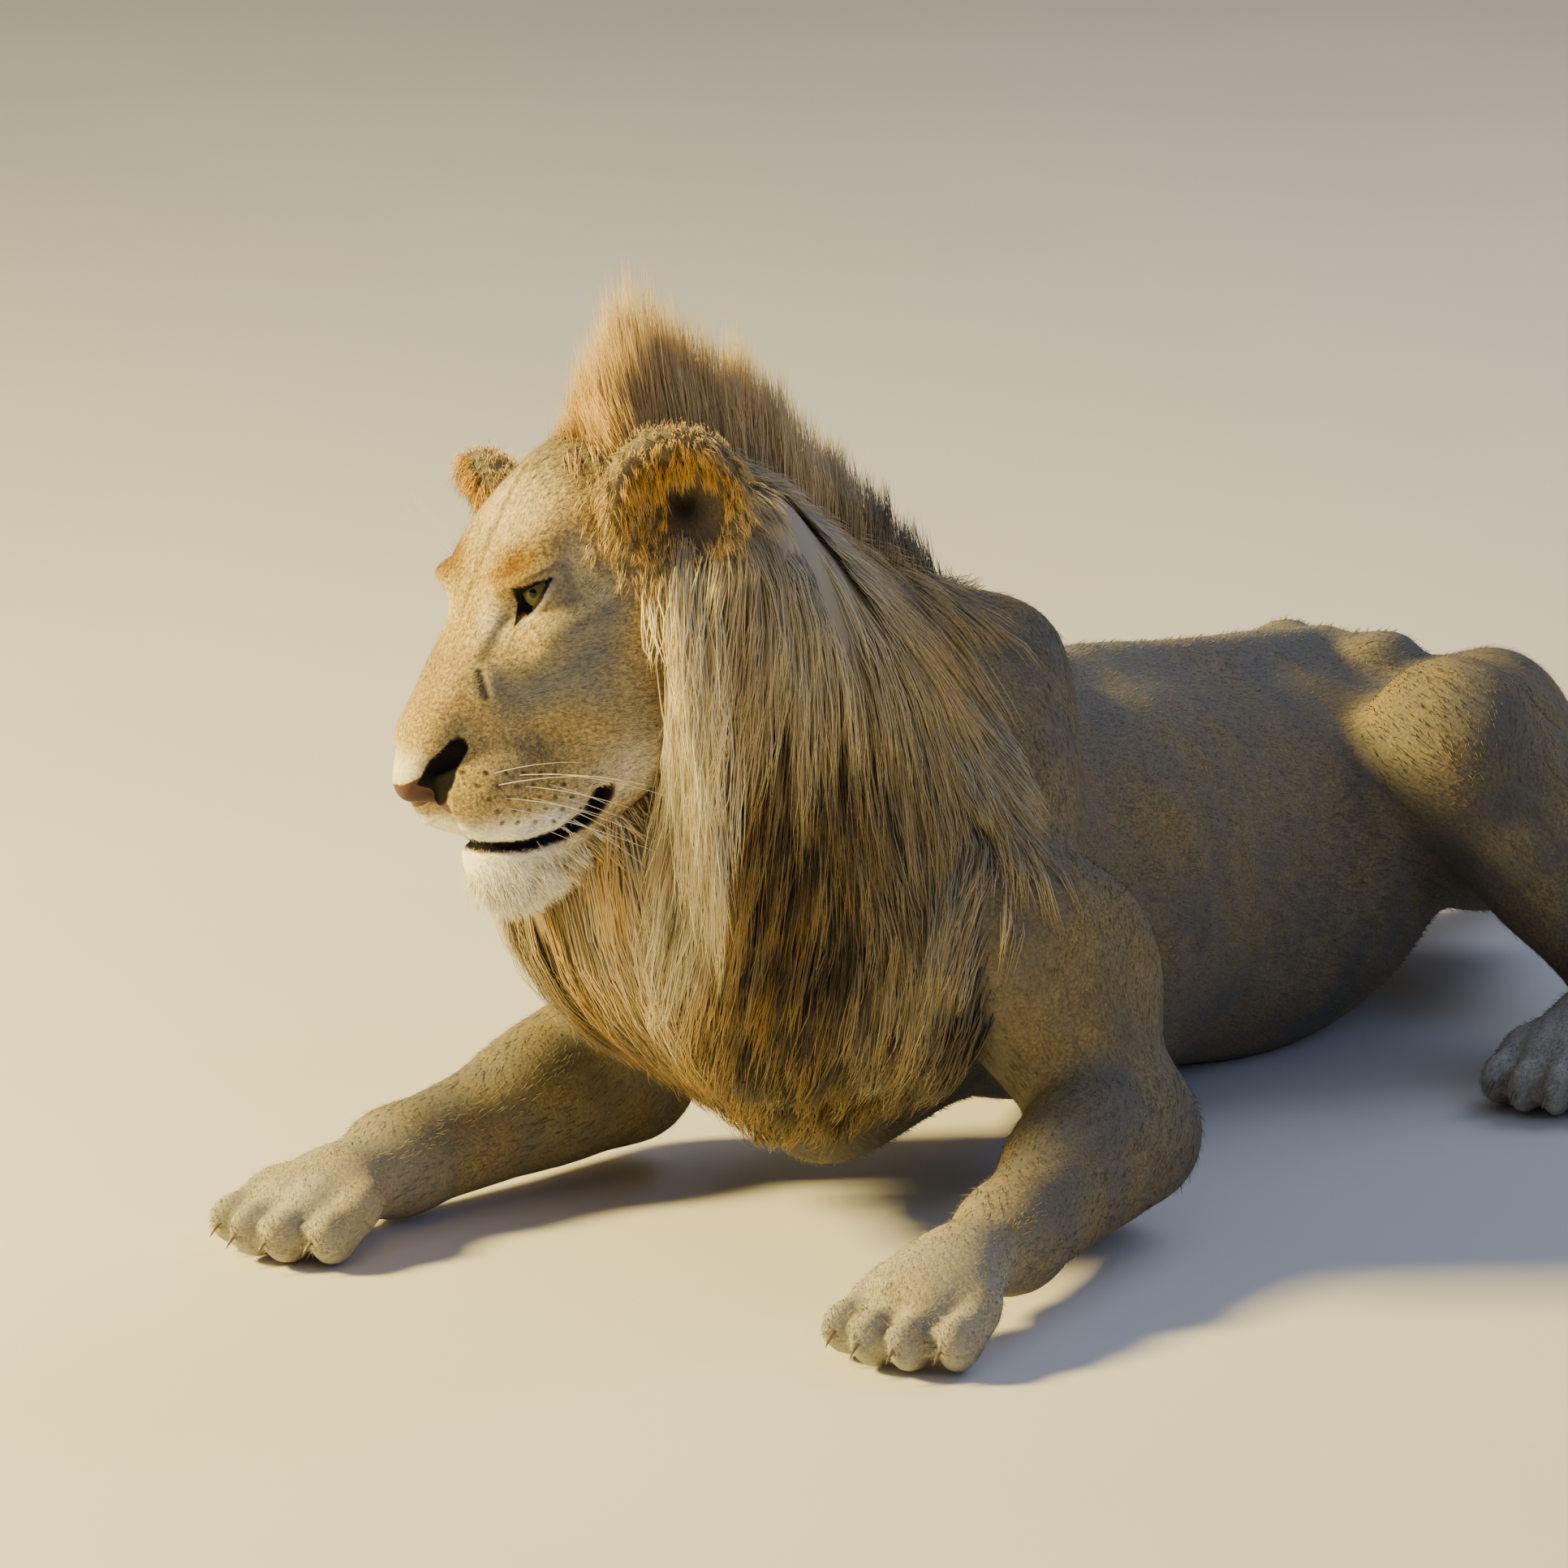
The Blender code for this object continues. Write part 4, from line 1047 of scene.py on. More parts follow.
# %% The ribs, and soft folds on the flank
x, y, z = p.T
flank = soft_step(y, 0.22, 0.32) * fade(y, 0.66, 0.76) * soft_step(z, 0.08, 0.14)
flank *= fade(z, 0.33, 0.38) * soft_step(np.abs(x), 0.10, 0.14)
wave = 0.0016 * np.sin(2 * np.pi * (y + 0.28 * z) / 0.052) * flank
p += np.stack([np.sign(x) * wave, wave * 0, wave * 0], 1)
skin_mesh.vertices.foreach_set("co", p.astype(np.float32).ravel())
skin_mesh.update()
print("skin height", round(float(p[:, 2].max()), 3))

# %% [markdown]
# ## The unwrap
# The skin is laid flat like a hide cut for a mount: each part of the body gives six pieces, one for each
# way that it faces, and the pieces are set side by side in rows. Every tuft later takes the place of its
# root here.

# %% Laying the skin flat
PART_MIDDLES = [np.array(HEAD @ Vector((-0.16, 0, 0.0)))] + EAR_MIDDLES
PART_MIDDLES += [np.array(v) for v in ((0, -0.02, 0.38), (0, 0.25, 0.25), (0, 0.60, 0.2), (0, 1.0, 0.2))]
for leg in LEGS:
    PART_MIDDLES += [(np.array(a) + np.array(b)) / 2 for a, b in zip(leg, leg[1:])] + [np.array(leg[3])]
PART_MIDDLES += [np.array(station[:3]) for station in TAIL]
MARGIN = 0.012  # metres between the pieces


def unwrap(mesh):
    """An OFBake map of islands, one for each part and facing, packed in rows."""
    p = coordinates(mesh)
    count = len(mesh.polygons)
    centres, normals = (read(mesh.polygons, what, 3, np.float32) for what in ("center", "normal"))
    part = np.argmin([np.linalg.norm(centres - place, axis=1) for place in PART_MIDDLES], axis=0)
    axis = np.abs(normals).argmax(1)
    facing = 2 * axis + (normals[np.arange(count), axis] > 0)
    island = part * 6 + facing
    totals = read(mesh.polygons, "loop_total", 1)[:, 0]
    corner = read(mesh.loops, "vertex_index", 1)[:, 0]
    corner_island = np.repeat(island, totals)
    keep = np.array([[1, 2], [0, 2], [0, 1]])[(corner_island % 6) // 2]
    flat = np.take_along_axis(p[corner], keep, axis=1)
    sizes = []
    for which in np.unique(corner_island):
        mine = corner_island == which
        low = flat[mine].min(0)
        flat[mine] -= low
        sizes.append((which, *(flat[mine].max(0) + MARGIN)))
    side = 1.12 * math.sqrt(sum(w * h for _, w, h in sizes))
    right = bottom = row = 0.0
    for which, w, h in sorted(sizes, key=lambda s: -s[2]):
        if right + w > side and right > 0:
            right, bottom, row = 0.0, bottom + row, 0.0
        flat[corner_island == which] += (right, bottom)
        right, row = right + w, max(row, h)
    flat = (flat + MARGIN / 2) / max(side, bottom + row)
    layer = mesh.uv_layers.new(name="OFBake")
    layer.data.foreach_set("uv", flat.astype(np.float32).ravel())
    return flat, corner


skin_uv, skin_corner = unwrap(skin_mesh)
point_uv = np.zeros((len(p), 2))
point_uv[skin_corner] = skin_uv
print("unwrap from", skin_uv.min().round(3), "to", skin_uv.max().round(3))


# %% [markdown]
# ## Hair and skin as materials
# Short lion hair is banded: each hair is pale, then brown, then pale again, so the coat looks like sand
# with a fine dark ticking. It is dull, with a faint sheen where many tips catch the light. The same recipe
# serves the skin under the tufts and the tufts themselves; the mane takes it with longer, glossier, more
# golden hair. Ticking and grain are real sizes: 3 mm for a tick, which is drawn a little coarser than the 1
# mm of life.

# %% The coat's recipe
# grey is partly painted shade: being neutral, it greys the body and parts of the face and mane as shade
# would
COLOURS = ("light", "deep", "pale", "gold", "grey", "dark")
SHORT_HAIR = dict(zip(COLOURS, ("#C9AA4E", "#866A2C", "#FBF7E6", "#6E4604", "#6E6A61", "#1B1410")))
LONG_HAIR = dict(zip(COLOURS, ("#EFCF78", "#B08C44", "#FFF0C4", "#DDAA3C", "#B2AEA4", "#241505")))
TICK, CLOUD = 1 / 0.003, 1 / 0.07  # grains a metre


def coat_material(name, hair, roughness, strand, bump, contrast=1.0):
    """Hair colours laid over each other by the marks at each point, broken up by ticking."""
    material, tree = new_material(name)
    place = add_node(tree, "TexCoord").outputs["Object"]
    tick = add_node(
        tree, "TexNoise", {"Vector": place, "Scale": TICK, "Detail": 3, "Roughness": 0.7}
    ).outputs[0]
    cloud = add_node(tree, "TexNoise", {"Vector": place, "Scale": CLOUD, "Detail": 3}).outputs[0]
    ticked = add_node(tree, "MapRange", {0: tick, 1: 0.38, 2: 0.62}).outputs[0]
    colour = add_node(
        tree, "Mix", {0: ticked, 6: linear(hair["deep"]), 7: linear(hair["light"])}, data_type="RGBA"
    ).outputs[2]
    uneven = add_node(tree, "MapRange", {0: cloud, 1: 0.3, 2: 0.7, 3: 0.75, 4: 1.2}).outputs[0]
    for mark in ("gold", "grey", "pale", "dark"):
        amount = add_node(tree, "Attribute", attribute_name=mark).outputs["Fac"]
        share = add_node(
            tree, "Math", {0: amount, 1: uneven}, operation="MULTIPLY", use_clamp=True
        ).outputs[0]
        colour = add_node(
            tree, "Mix", {0: share, 6: colour, 7: linear(hair[mark])}, data_type="RGBA"
        ).outputs[2]
    if strand:
        along, lock = (
            add_node(tree, "Attribute", attribute_name=what).outputs["Fac"] for what in ("along", "lock")
        )
        bright = add_node(
            tree, "MapRange", {0: along, 2: 0.8, 3: 1 - 0.40 * contrast, 4: 1 + 0.14 * contrast}
        ).outputs[0]
        each = add_node(
            tree, "MapRange", {0: lock, 3: 1 - 0.2 * contrast, 4: 1 + 0.2 * contrast}
        ).outputs[0]
        value = add_node(tree, "Math", {0: bright, 1: each}, operation="MULTIPLY").outputs[0]
    else:
        value = add_node(tree, "MapRange", {0: tick, 1: 0.3, 2: 0.7, 3: 0.72, 4: 1.1}).outputs[0]
    colour = add_node(tree, "HueSaturation", {"Value": value, "Color": colour}).outputs[0]
    bumped = add_node(tree, "Bump", {"Height": tick, "Distance": bump, "Strength": 0.6}).outputs[0]
    finish = {"Base Color": colour, "Normal": bumped, "Roughness": roughness, "IOR": 1.55,
              "Specular IOR Level": 0.35, "Sheen Weight": 0.08, "Sheen Roughness": 0.5}
    shader = add_node(tree, "BsdfPrincipled", finish)
    add_node(tree, "OutputMaterial", {"Surface": shader.outputs[0]})
    return material, tree, shader, colour


skin_coat, tree, shader, colour = coat_material("short_hair_skin", SHORT_HAIR, 0.8, False, 0.0008)
# nose leather, lips and lids are bare: brown-pink to black, pebbled and a little damp
bare, dark = (add_node(tree, "Attribute", attribute_name=mark).outputs["Fac"] for mark in ("bare", "dark"))
leather = add_node(
    tree, "Mix", {0: dark, 6: linear("#5A4038"), 7: linear("#050404")}, data_type="RGBA"
).outputs[2]
colour = add_node(tree, "Mix", {0: bare, 6: colour, 7: leather}, data_type="RGBA").outputs[2]
pink = add_node(tree, "Math", {0: bare, 1: dark}, operation="SUBTRACT", use_clamp=True).outputs[0]
damp = add_node(tree, "MapRange", {0: pink, 3: 0.85, 4: 0.45}).outputs[0]
tree.links.new(colour, shader.inputs["Base Color"])
tree.links.new(damp, shader.inputs["Roughness"])
shader.inputs["Specular IOR Level"].default_value = 0.15
shader.inputs["Sheen Weight"].default_value = 0.0
tuft_coat = coat_material("short_hair_tufts", SHORT_HAIR, 0.75, True, 0.0002, 0.45)[0]
mane_coat = coat_material("long_mane_hair", LONG_HAIR, 0.55, True, 0.0002, 0.75)[0]
print("hair materials", len(COLOURS), "colours each")

# %% [markdown]
# ## The skin as a piece
# It stands for every solid of flesh, and carries its marks at its points.

# %% Skin
def coat_marks(p):
    """The markings, with painted shade in the hollow of either ear."""
    marks, q, dark = markings(p), in_head(p), np.zeros(len(p))
    for side in (1, -1):
        x, y, z = in_axes(q, ear_frame(side)).T
        # painted shade deep in the cup of the ear
        dark += np.exp(-((y / 0.026) ** 2) - (((z + 0.014) / 0.024) ** 2)) * (x < 0.004) * (x > -0.03)
    add_mark(marks, "dark", dark)
    return marks


set_marks(skin_mesh, coat_marks(p))
skin = piece("skin", skin_mesh, [skin_coat])
FLESH = sorted(n for n in frame["nodes"] if not n.startswith(("mane", "eye", "tail_tuft")))
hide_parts(*FLESH)
print("skin", len(skin_mesh.polygons), "faces, stands for", len(FLESH), "solids")

# %% [markdown]
# ## Eyes
# A lion's eye is a ball of 37 mm with an amber iris, a round pupil and a dark ring round the iris, and
# always wet. The ball is turned from one outline with a slight bulge for the cornea. The iris is drawn by
# the material, from the distance to the axis: streaks run out from the pupil, as they do in the real one.

# %% Eyeballs
IRIS, PUPIL = 0.0136, 0.0034  # radii
CORNEA = 0.0007  # how far the front stands out


def eyeball_mesh(name):
    """A ball that looks along z, its front raised a little as the cornea is."""
    bm = bmesh.new()
    bmesh.ops.create_uvsphere(bm, u_segments=64, v_segments=48, radius=EYE_RADIUS)
    for vert in bm.verts:
        away = math.hypot(vert.co.x, vert.co.y)
        if vert.co.z > 0 and away < IRIS:
            vert.co.z += CORNEA * (1 - (away / IRIS) ** 2)
    mesh = bpy.data.meshes.new(name)
    bm.to_mesh(mesh)
    bm.free()
    mesh.shade_smooth()
    return mesh


amber, tree = new_material("amber_eye")
place = add_node(tree, "TexCoord").outputs["Object"]
axes = add_node(tree, "SeparateXYZ", {0: place})
ring = add_node(tree, "VectorMath", {0: place, 1: (1, 1, 0)}, operation="MULTIPLY").outputs[0]
away = add_node(tree, "VectorMath", {0: ring}, operation="LENGTH").outputs["Value"]
turn = add_node(tree, "Math", {0: axes.outputs[1], 1: axes.outputs[0]}, operation="ARCTAN2").outputs[0]
spread = add_node(tree, "Math", {0: away, 1: 60}, operation="MULTIPLY").outputs[0]
streak_place = add_node(tree, "CombineXYZ", {0: turn, 1: spread}).outputs[0]
streaks = add_node(tree, "TexNoise", {"Vector": streak_place, "Scale": 9, "Detail": 4}).outputs[0]
iris = add_node(
    tree, "Mix", {0: streaks, 6: linear("#2A2614"), 7: linear("#776E40")}, data_type="RGBA"
).outputs[2]
bands = add_node(tree, "MapRange", {0: away, 1: PUPIL, 2: IRIS + 0.0015}).outputs[0]
rim = add_node(tree, "ValToRGB", {0: bands})
for element, (where, shade) in zip(rim.color_ramp.elements, ((0.0, "#000000"), (0.08, "#FFFFFF"))):
    element.position, element.color = where, linear(shade)
for where, shade in ((0.72, "#FFFFFF"), (0.84, "#0A0705")):
    element = rim.color_ramp.elements.new(where)
    element.color = linear(shade)
front = add_node(
    tree, "Mix", {0: 1.0, 6: iris, 7: rim.outputs[0]}, data_type="RGBA", blend_type="MULTIPLY"
).outputs[2]
wet = {"Base Color": front, "Roughness": 0.12, "IOR": 1.38, "Specular IOR Level": 0.15, "Coat Weight": 0.25,
       "Coat Roughness": 0.02}
shader = add_node(tree, "BsdfPrincipled", wet)
add_node(tree, "OutputMaterial", {"Surface": shader.outputs[0]})
for side, name in ((1, "left"), (-1, "right")):
    eye = bpy.data.objects.new("eyeball_" + name, eyeball_mesh("eyeball_" + name))
    bpy.context.scene.collection.objects.link(eye)
    eye.data.materials.append(amber)
    turned = Vector((0, 0, 1)).rotation_difference(Vector(GAZE)).to_matrix().to_4x4()
    eye.matrix_world = (
        Matrix.Translation(Vector(SHIFT)) @ eye_frame(side) @ turned @ Matrix.Diagonal((-side, 1, 1, 1))
    )
    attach(eye, "root")
    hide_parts("eye_" + name)
print("iris", IRIS * 2000, "mm across")

# %% [markdown]
# ## Rims of the lids
# The edge of each lid is a bare black roll that lies on the ball. It is a tube that follows the opening,
# thicker above, as the upper lid is.

# %% Lid rims
black_rim = mottled("damp_black_lid", 900, 2, "#0D0A09", "#2A1F1B", {"Roughness": 0.3, "IOR": 1.45}, 0.0003)
RIM_SIDES, RIM_STEPS = 8, 72


def ring_mesh(name, centres, radii, outs):
    """A round tube through a ring of centres; outs tells it which way is up at each."""
    n = len(centres)
    along = unit(np.roll(centres, -1, 0) - np.roll(centres, 1, 0))
    across = unit(np.cross(along, outs))
    lift = np.cross(across, along)
    turn = np.arange(RIM_SIDES) * 2 * np.pi / RIM_SIDES
    ring = across[:, None] * np.cos(turn)[None, :, None] + lift[:, None] * np.sin(turn)[None, :, None]
    points = (centres[:, None] + ring * radii[:, None, None]).reshape(-1, 3)
    faces = []
    for i in range(n):
        for j in range(RIM_SIDES):
            i2, j2 = (i + 1) % n, (j + 1) % RIM_SIDES
            faces.append([row * RIM_SIDES + side for row, side in ((i, j), (i2, j), (i2, j2), (i, j2))])
    mesh = bpy.data.meshes.new(name)
    mesh.from_pydata(points.tolist(), [], faces)
    return mesh


turn = np.linspace(0, 2 * np.pi, RIM_STEPS, endpoint=False)
upper = np.sin(turn) > 0
x = SLIT * np.cos(turn)
y = np.where(upper, *opening(x))
outs = np.stack([x, y, np.sqrt((EYE_RADIUS + 0.0004) ** 2 - x**2 - y**2)], 1)
radii = 0.0010 + 0.0008 * upper * (1 - (x / SLIT) ** 2)
for side, name in ((1, "left"), (-1, "right")):
    rim_mesh = ring_mesh("lid_rim_" + name, outs, radii, unit(outs))
    rim_mesh.transform(eye_frame(side))
    if side > 0:
        rim_mesh.flip_normals()
    piece("lid_rim_" + name, rim_mesh, [black_rim])
print("lid rims", RIM_STEPS, "steps round")

# %% [markdown]
# ## Tufts
# Fur made as real mesh: each tuft is a thin closed blade with three sides that ends in a point. Numbers for
# thousands of them are worked out at once in arrays, which is far faster than making them one by one.

# %% A mesh of many tufts
rng = np.random.default_rng(7)
BLADE = np.array(((-0.5, 0.0), (0.5, 0.0), (0.0, 1.0)))  # a tuft's corners: across, and up from the coat
PATCH = 0.003  # size of a tuft's place on the unwrap


def strand_mesh(name, lines, widths, out, uv, marks, lock, thick=0.30):
    """lines run from root to tip (tufts, steps, xyz). widths has no number for the tip, which is a point."""
    n, k = lines.shape[:2]
    along = unit(np.gradient(lines, axis=1))
    across = unit(np.cross(along, out[:, None]))
    ridge = np.cross(across, along)
    rings = lines[:, :-1, None] + widths[:, :, None, None] * (
        across[:, :-1, None] * BLADE[:, 0, None] + ridge[:, :-1, None] * BLADE[:, 1, None] * thick
    )
    points = np.concatenate([rings.reshape(n, -1, 3), lines[:, -1:]], axis=1)
    each = points.shape[1]
    faces, sides = [(0, 1, 2)], ((0, 1), (1, 2), (2, 0))
    for i in range(k - 2):
        low, high = 3 * i, 3 * i + 3
        for a, b in sides:
            faces += [(high + a, high + b, low + b), (high + a, low + b, low + a)]
    faces += [(each - 1, each - 4 + b, each - 4 + a) for a, b in sides]
    faces = (np.arange(n)[:, None, None] * each + np.array(faces)).reshape(-1, 3)
    step = np.append(np.repeat(np.arange(k - 1), 3), k - 1) / (k - 1)
    corner = np.append(np.tile((-0.4, 0.4, 0.0), k - 1), 0.0)
    spread = np.stack([corner, step - 0.5], 1) * PATCH
    points[:, :, 2] = np.maximum(points[:, :, 2], 0.0004)
    mesh = bpy.data.meshes.new(name)
    mesh.vertices.add(n * each)
    mesh.vertices.foreach_set("co", points.astype(np.float32).ravel())
    mesh.loops.add(faces.size)
    mesh.loops.foreach_set("vertex_index", faces.astype(np.int32).ravel())
    mesh.polygons.add(len(faces))
    mesh.polygons.foreach_set("loop_start", np.arange(0, faces.size, 3, dtype=np.int32))
    mesh.update(calc_edges=True)
    layer = mesh.uv_layers.new(name="OFBake")
    flat = (uv[:, None] + spread).reshape(-1, 2)[faces.ravel()]
    layer.data.foreach_set("uv", np.clip(flat, 0, 1).astype(np.float32).ravel())
    set_marks(mesh, {name: np.repeat(values, each) for name, values in marks.items() if name != "bare"})
    set_marks(mesh, {"along": np.tile(step, n), "lock": np.repeat(lock, each)})
    return mesh


def turned_out(points, triangles):
    """The way each triangle faces, as long as twice its area."""
    a, b, c = (points[triangles[:, i]] for i in range(3))
    return np.cross(b - a, c - a)


def grow(points, triangles, weight, count):
    """Roots picked over triangles by area and weight, with normals, triangles and shares of the corners."""
    normal = turned_out(points, triangles)
    pick = np.cumsum(np.linalg.norm(normal, axis=1) / 2 * weight)
    chosen = np.minimum(np.searchsorted(pick, rng.random(count) * pick[-1]), len(pick) - 1)
    u, v = rng.random(count), rng.random(count)
    over = u + v > 1
    u[over], v[over] = 1 - u[over], 1 - v[over]
    share = np.stack([1 - u - v, u, v], 1)
    roots = (points[triangles[chosen]] * share[:, :, None]).sum(1)
    return roots, unit(normal[chosen]), chosen, share


def triangles_of(mesh):
    """Corners of a mesh's triangles, as points and as places on the unwrap."""
    mesh.calc_loop_triangles()
    return [read(mesh.loop_triangles, what, 3) for what in ("vertices", "loops")]


skin_triangles, skin_loops = triangles_of(skin_mesh)
print("skin triangles", len(skin_triangles))


# %% Which way the hair runs
def grain_of(p):
    """The lie of the coat: the grain of the nearest masses, mixed."""
    total = np.zeros_like(p)
    for mass in SKIN:
        if mass.cut:
            continue
        near = np.flatnonzero(((p - mass.middle) ** 2).sum(1) < (mass.reach + 0.06) ** 2)
        if len(near):
            weight = np.exp(-np.clip(measure(mass, p[near])[0], -0.02, 0.2) / 0.014)
            total[near] += weight[:, None] * mass.grain
    return total


def tangent(way, normal):
    return unit(way - normal * (way * normal).sum(1, keepdims=True))


# %% [markdown]
# ## The short coat
# Tufts of the short coat lie almost flat, follow the grain, and are shortest on the muzzle and feet. None
# grow under the mane, on bare skin, or where the lion rests on the ground.

# %% Short coat
middles = p[skin_triangles].mean(1)
facing = unit(turned_out(p, skin_triangles))
under_mane = field(middles, MANE)[0] < -0.022
open_skin = ~under_mane & (markings(middles)["bare"] < 0.4)
for side in (1, -1):
    e, inside = in_eye(middles, side)
    over_eye = np.maximum(inside, black_corner(e) + 0.0018) > 0.0005
    open_skin &= ~(over_eye & before_eye(e))
open_skin &= ~((facing[:, 2] < -0.5) & (middles[:, 2] < 0.04)) & (middles[:, 2] > 0.004)
feet = near_to(middles, PAWS, 0.09, 0.15)
head = head_share(middles)
QUICK_SHARE = 1
REGIONS = {  # share of the skin, and how many tufts
    "coat_head": (head * (1 + 2.5 * muzzle_share(middles)), 36000),
    "coat_feet": (feet, 17000),
    "coat_shoulders": ((1 - head) * (1 - feet) * (middles[:, 1] < 0.25), 22000),
    "coat_flank": ((1 - feet) * (middles[:, 1] >= 0.25) * (middles[:, 1] < 0.70), 20000),
    "coat_hindquarters": ((1 - feet) * (middles[:, 1] >= 0.70), 22000),
}
for name, (weight, count) in REGIONS.items():
    count //= QUICK_SHARE
    roots, normals, chosen, share = grow(p, skin_triangles, weight * open_skin, count)
    uv = (skin_uv[skin_loops[chosen]] * share[:, :, None]).sum(1)
    depth = coat_depth(roots)
    way = tangent(unit(grain_of(roots)) + rng.normal(0, 0.16, roots.shape), normals)
    length = depth * rng.uniform(1.8, 3.2, count) + 0.0015
    length *= 1 - 0.6 * near_to(both_sides(roots), [np.array(BALL)], 0.026, 0.040)
    lift = rng.uniform(0.08, 0.28, count)
    tips = roots + (way * np.cos(lift)[:, None] + normals * np.sin(lift)[:, None]) * length[:, None]
    lines = np.stack([roots - normals * 0.0012, tips], 1)
    width = (0.00045 + 0.13 * depth) * rng.uniform(0.7, 1.2, count)
    mesh = strand_mesh(name, lines, width[:, None], normals, uv, coat_marks(roots), rng.random(count), 0.16)
    piece(name, mesh, [tuft_coat])
    print(name, count, "tufts")

# %% [markdown]
# ## The mane
# At his age the mane is half grown: long locks fall from the cheeks, neck and chest, and a brush of upright
# hair stands on the nape. Under the locks lies an undercoat, one closed form that fills the mane, so that
# no gap between locks shows bare neck. Guide lines start in it, run down over its outside under their own
# weight, and each carries a bundle of hairs that draws together towards the tip, as real locks do.

# %% Undercoat of the mane
MANE_DEPTH = 0.014
FILLING = [mass for mass in SKIN if mass.name in ("neck", "nape", "skull_base")] + MANE
under = carved("mane_undercoat", FILLING, UNDERCOAT_VOXEL)
points = smoothed(under, FILLING, lambda p: MANE_DEPTH)
points[:, 2] = np.maximum(points[:, 2], 0.002)
under.vertices.foreach_set("co", points.astype(np.float32).ravel())
under.update()
unwrap(under)
ENVELOPE = SKIN + MANE
PALE_LOCK = np.array(HEAD @ Vector((-0.262, 0.120, 0.020)))


def mane_marks(p):
    """Colours of the mane: grey-beige high on the neck, gold below, pale down the cheek, and darker low
    down, partly its own brown and partly painted shade.
    """
    x, y, z = p.T
    wide = np.abs(x + 0.02)
    side = np.stack([wide, y, z], 1)
    column = np.stack([x, y], 1)
    grey = 1.0 * patch(side, (0.08, -0.16, 0.62), (0.09, 0.13, 0.13)) + 0.35 * soft_step(y, -0.05, 0.08)
    pale = 0.9 * np.exp(-(((column - PALE_LOCK[:2]) / 0.035) ** 2).sum(1)) * soft_step(z, 0.24, 0.36)
    pale += 0.35 * patch(side, (0.10, -0.20, 0.50), (0.05, 0.05, 0.10))
    chest, ear = (
        patch(side, (0.02, -0.30, 0.28), (0.07, 0.08, 0.12)),
        patch(side, (0.10, -0.14, 0.60), (0.06, 0.10, 0.10))
    )
    pale += 0.75 * chest + 0.35 * ear
    gold = 0.75 * patch(side, (0.02, -0.27, 0.29), (0.13, 0.12, 0.12)) + 0.2
    # darker brown low on the sides, here and in low_side below: partly the mane's own colour, partly painted
    # shade
    dark = 1.7 * patch(side, (0.06, -0.20, 0.36), (0.08, 0.07, 0.14))
    dark += 0.4 * patch(side, (0.12, -0.10, 0.36), (0.05, 0.06, 0.12))
    # painted shade at the foot of the mane, over the chest
    dark += 0.60 * fade(z, 0.135, 0.185) * (y < -0.12)
    low_side = fade(z, 0.32, 0.52) * soft_step(wide, 0.03, 0.08) * soft_step(y, -0.30, -0.20)
    dark += 0.60 * low_side * (1 - 0.6 * soft_step(wide, 0.11, 0.15))
    # painted shade, darker towards the bottom of the mane
    dark += 0.45 * fade(z, 0.20, 0.30) * soft_step(wide, 0.0, 0.05)
    pale += 0.25 * soft_step(wide, 0.09, 0.13)
    # greyer on the outer sides, to meet the short coat: partly painted shade
    grey += 0.5 * soft_step(wide, 0.11, 0.15)
    return clipped(pale=pale, gold=gold, grey=grey, dark=dark)


under_marks = mane_marks(points)
# painted shade: the undercoat is darkened as the depths between the locks, less so high on the neck
add_mark(under_marks, "dark", 0.45 * (1 - 0.4 * soft_step(points[:, 2], 0.36, 0.46)))
set_marks(under, {**under_marks, "along": np.full(len(points), 0.25), "lock": np.full(len(points), 0.4)})
undercoat = piece("mane_undercoat", under, [mane_coat])
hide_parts("mane_chest")
under_triangles = triangles_of(under)[0]
print("undercoat", len(under.polygons), "faces")


# %% Guide lines
def run_down(roots, lengths, steps, start, finish, pull, masses):
    """Lines that follow the outside of a form, drawn by pull, rising from start to finish depth."""
    lines = np.empty((len(roots), steps, 3))
    p, heading = roots.copy(), unit(pull(roots))
    for i in range(steps):
        f, slope = field(p, masses)
        want = -(start + (finish - start) * soft_step(np.full(len(p), i / (steps - 1)), 0, 0.8))
        p = p - slope * np.clip(f - want, -0.03, 0.03)[:, None]
        lines[:, i] = p
        way = pull(p)
        way = way - slope * (way * slope).sum(1, keepdims=True)
        heading = unit(heading * 0.5 + way)
        p = p + heading * (lengths / (steps - 1))[:, None]
    return lines


def bundle(guides, hairs, spread, draw, curl, level_masses=None, rough=0.25):
    """Each guide line becomes a lock of hairs, apart at the root and drawn together at the tip."""
    n, k = guides.shape[:2]
    lines = np.repeat(guides, hairs, axis=0)
    t = np.linspace(0, 1, k)[None, :, None]
    off = rng.normal(0, 1, (n * hairs, 1, 3)) * spread
    wander = rng.normal(0, 1, (n * hairs, 1, 3)) * spread * rough
    phase = rng.uniform(0, 2 * np.pi, (n * hairs, 1, 3))
    lines = lines + off * (1 - draw * t**1.2) + wander * t + curl * np.sin(phase + 7 * t) * t
    if level_masses:
        flat = lines.reshape(-1, 3)
        f, slope = field(flat, level_masses)
        goal = np.repeat(field(guides.reshape(-1, 3), level_masses)[0].reshape(n, k), hairs, axis=0).ravel()
        goal += np.tile(np.linspace(0, 1, k), n * hairs) * np.repeat(rng.normal(0, 0.004, n * hairs), k)
        lines = (flat - slope * np.clip(f - goal, -0.02, 0.02)[:, None]).reshape(lines.shape)
    return lines


def straight(starts, ways, lengths, steps):
    """Straight lines of so many steps from starts."""
    t = np.linspace(0, 1, steps)[None, :, None]
    return starts[:, None] + ways[:, None] * lengths[:, None, None] * t


SKIN_TREE = KDTree(len(p))
for i, place in enumerate(p):
    SKIN_TREE.insert(place, i)
SKIN_TREE.balance()


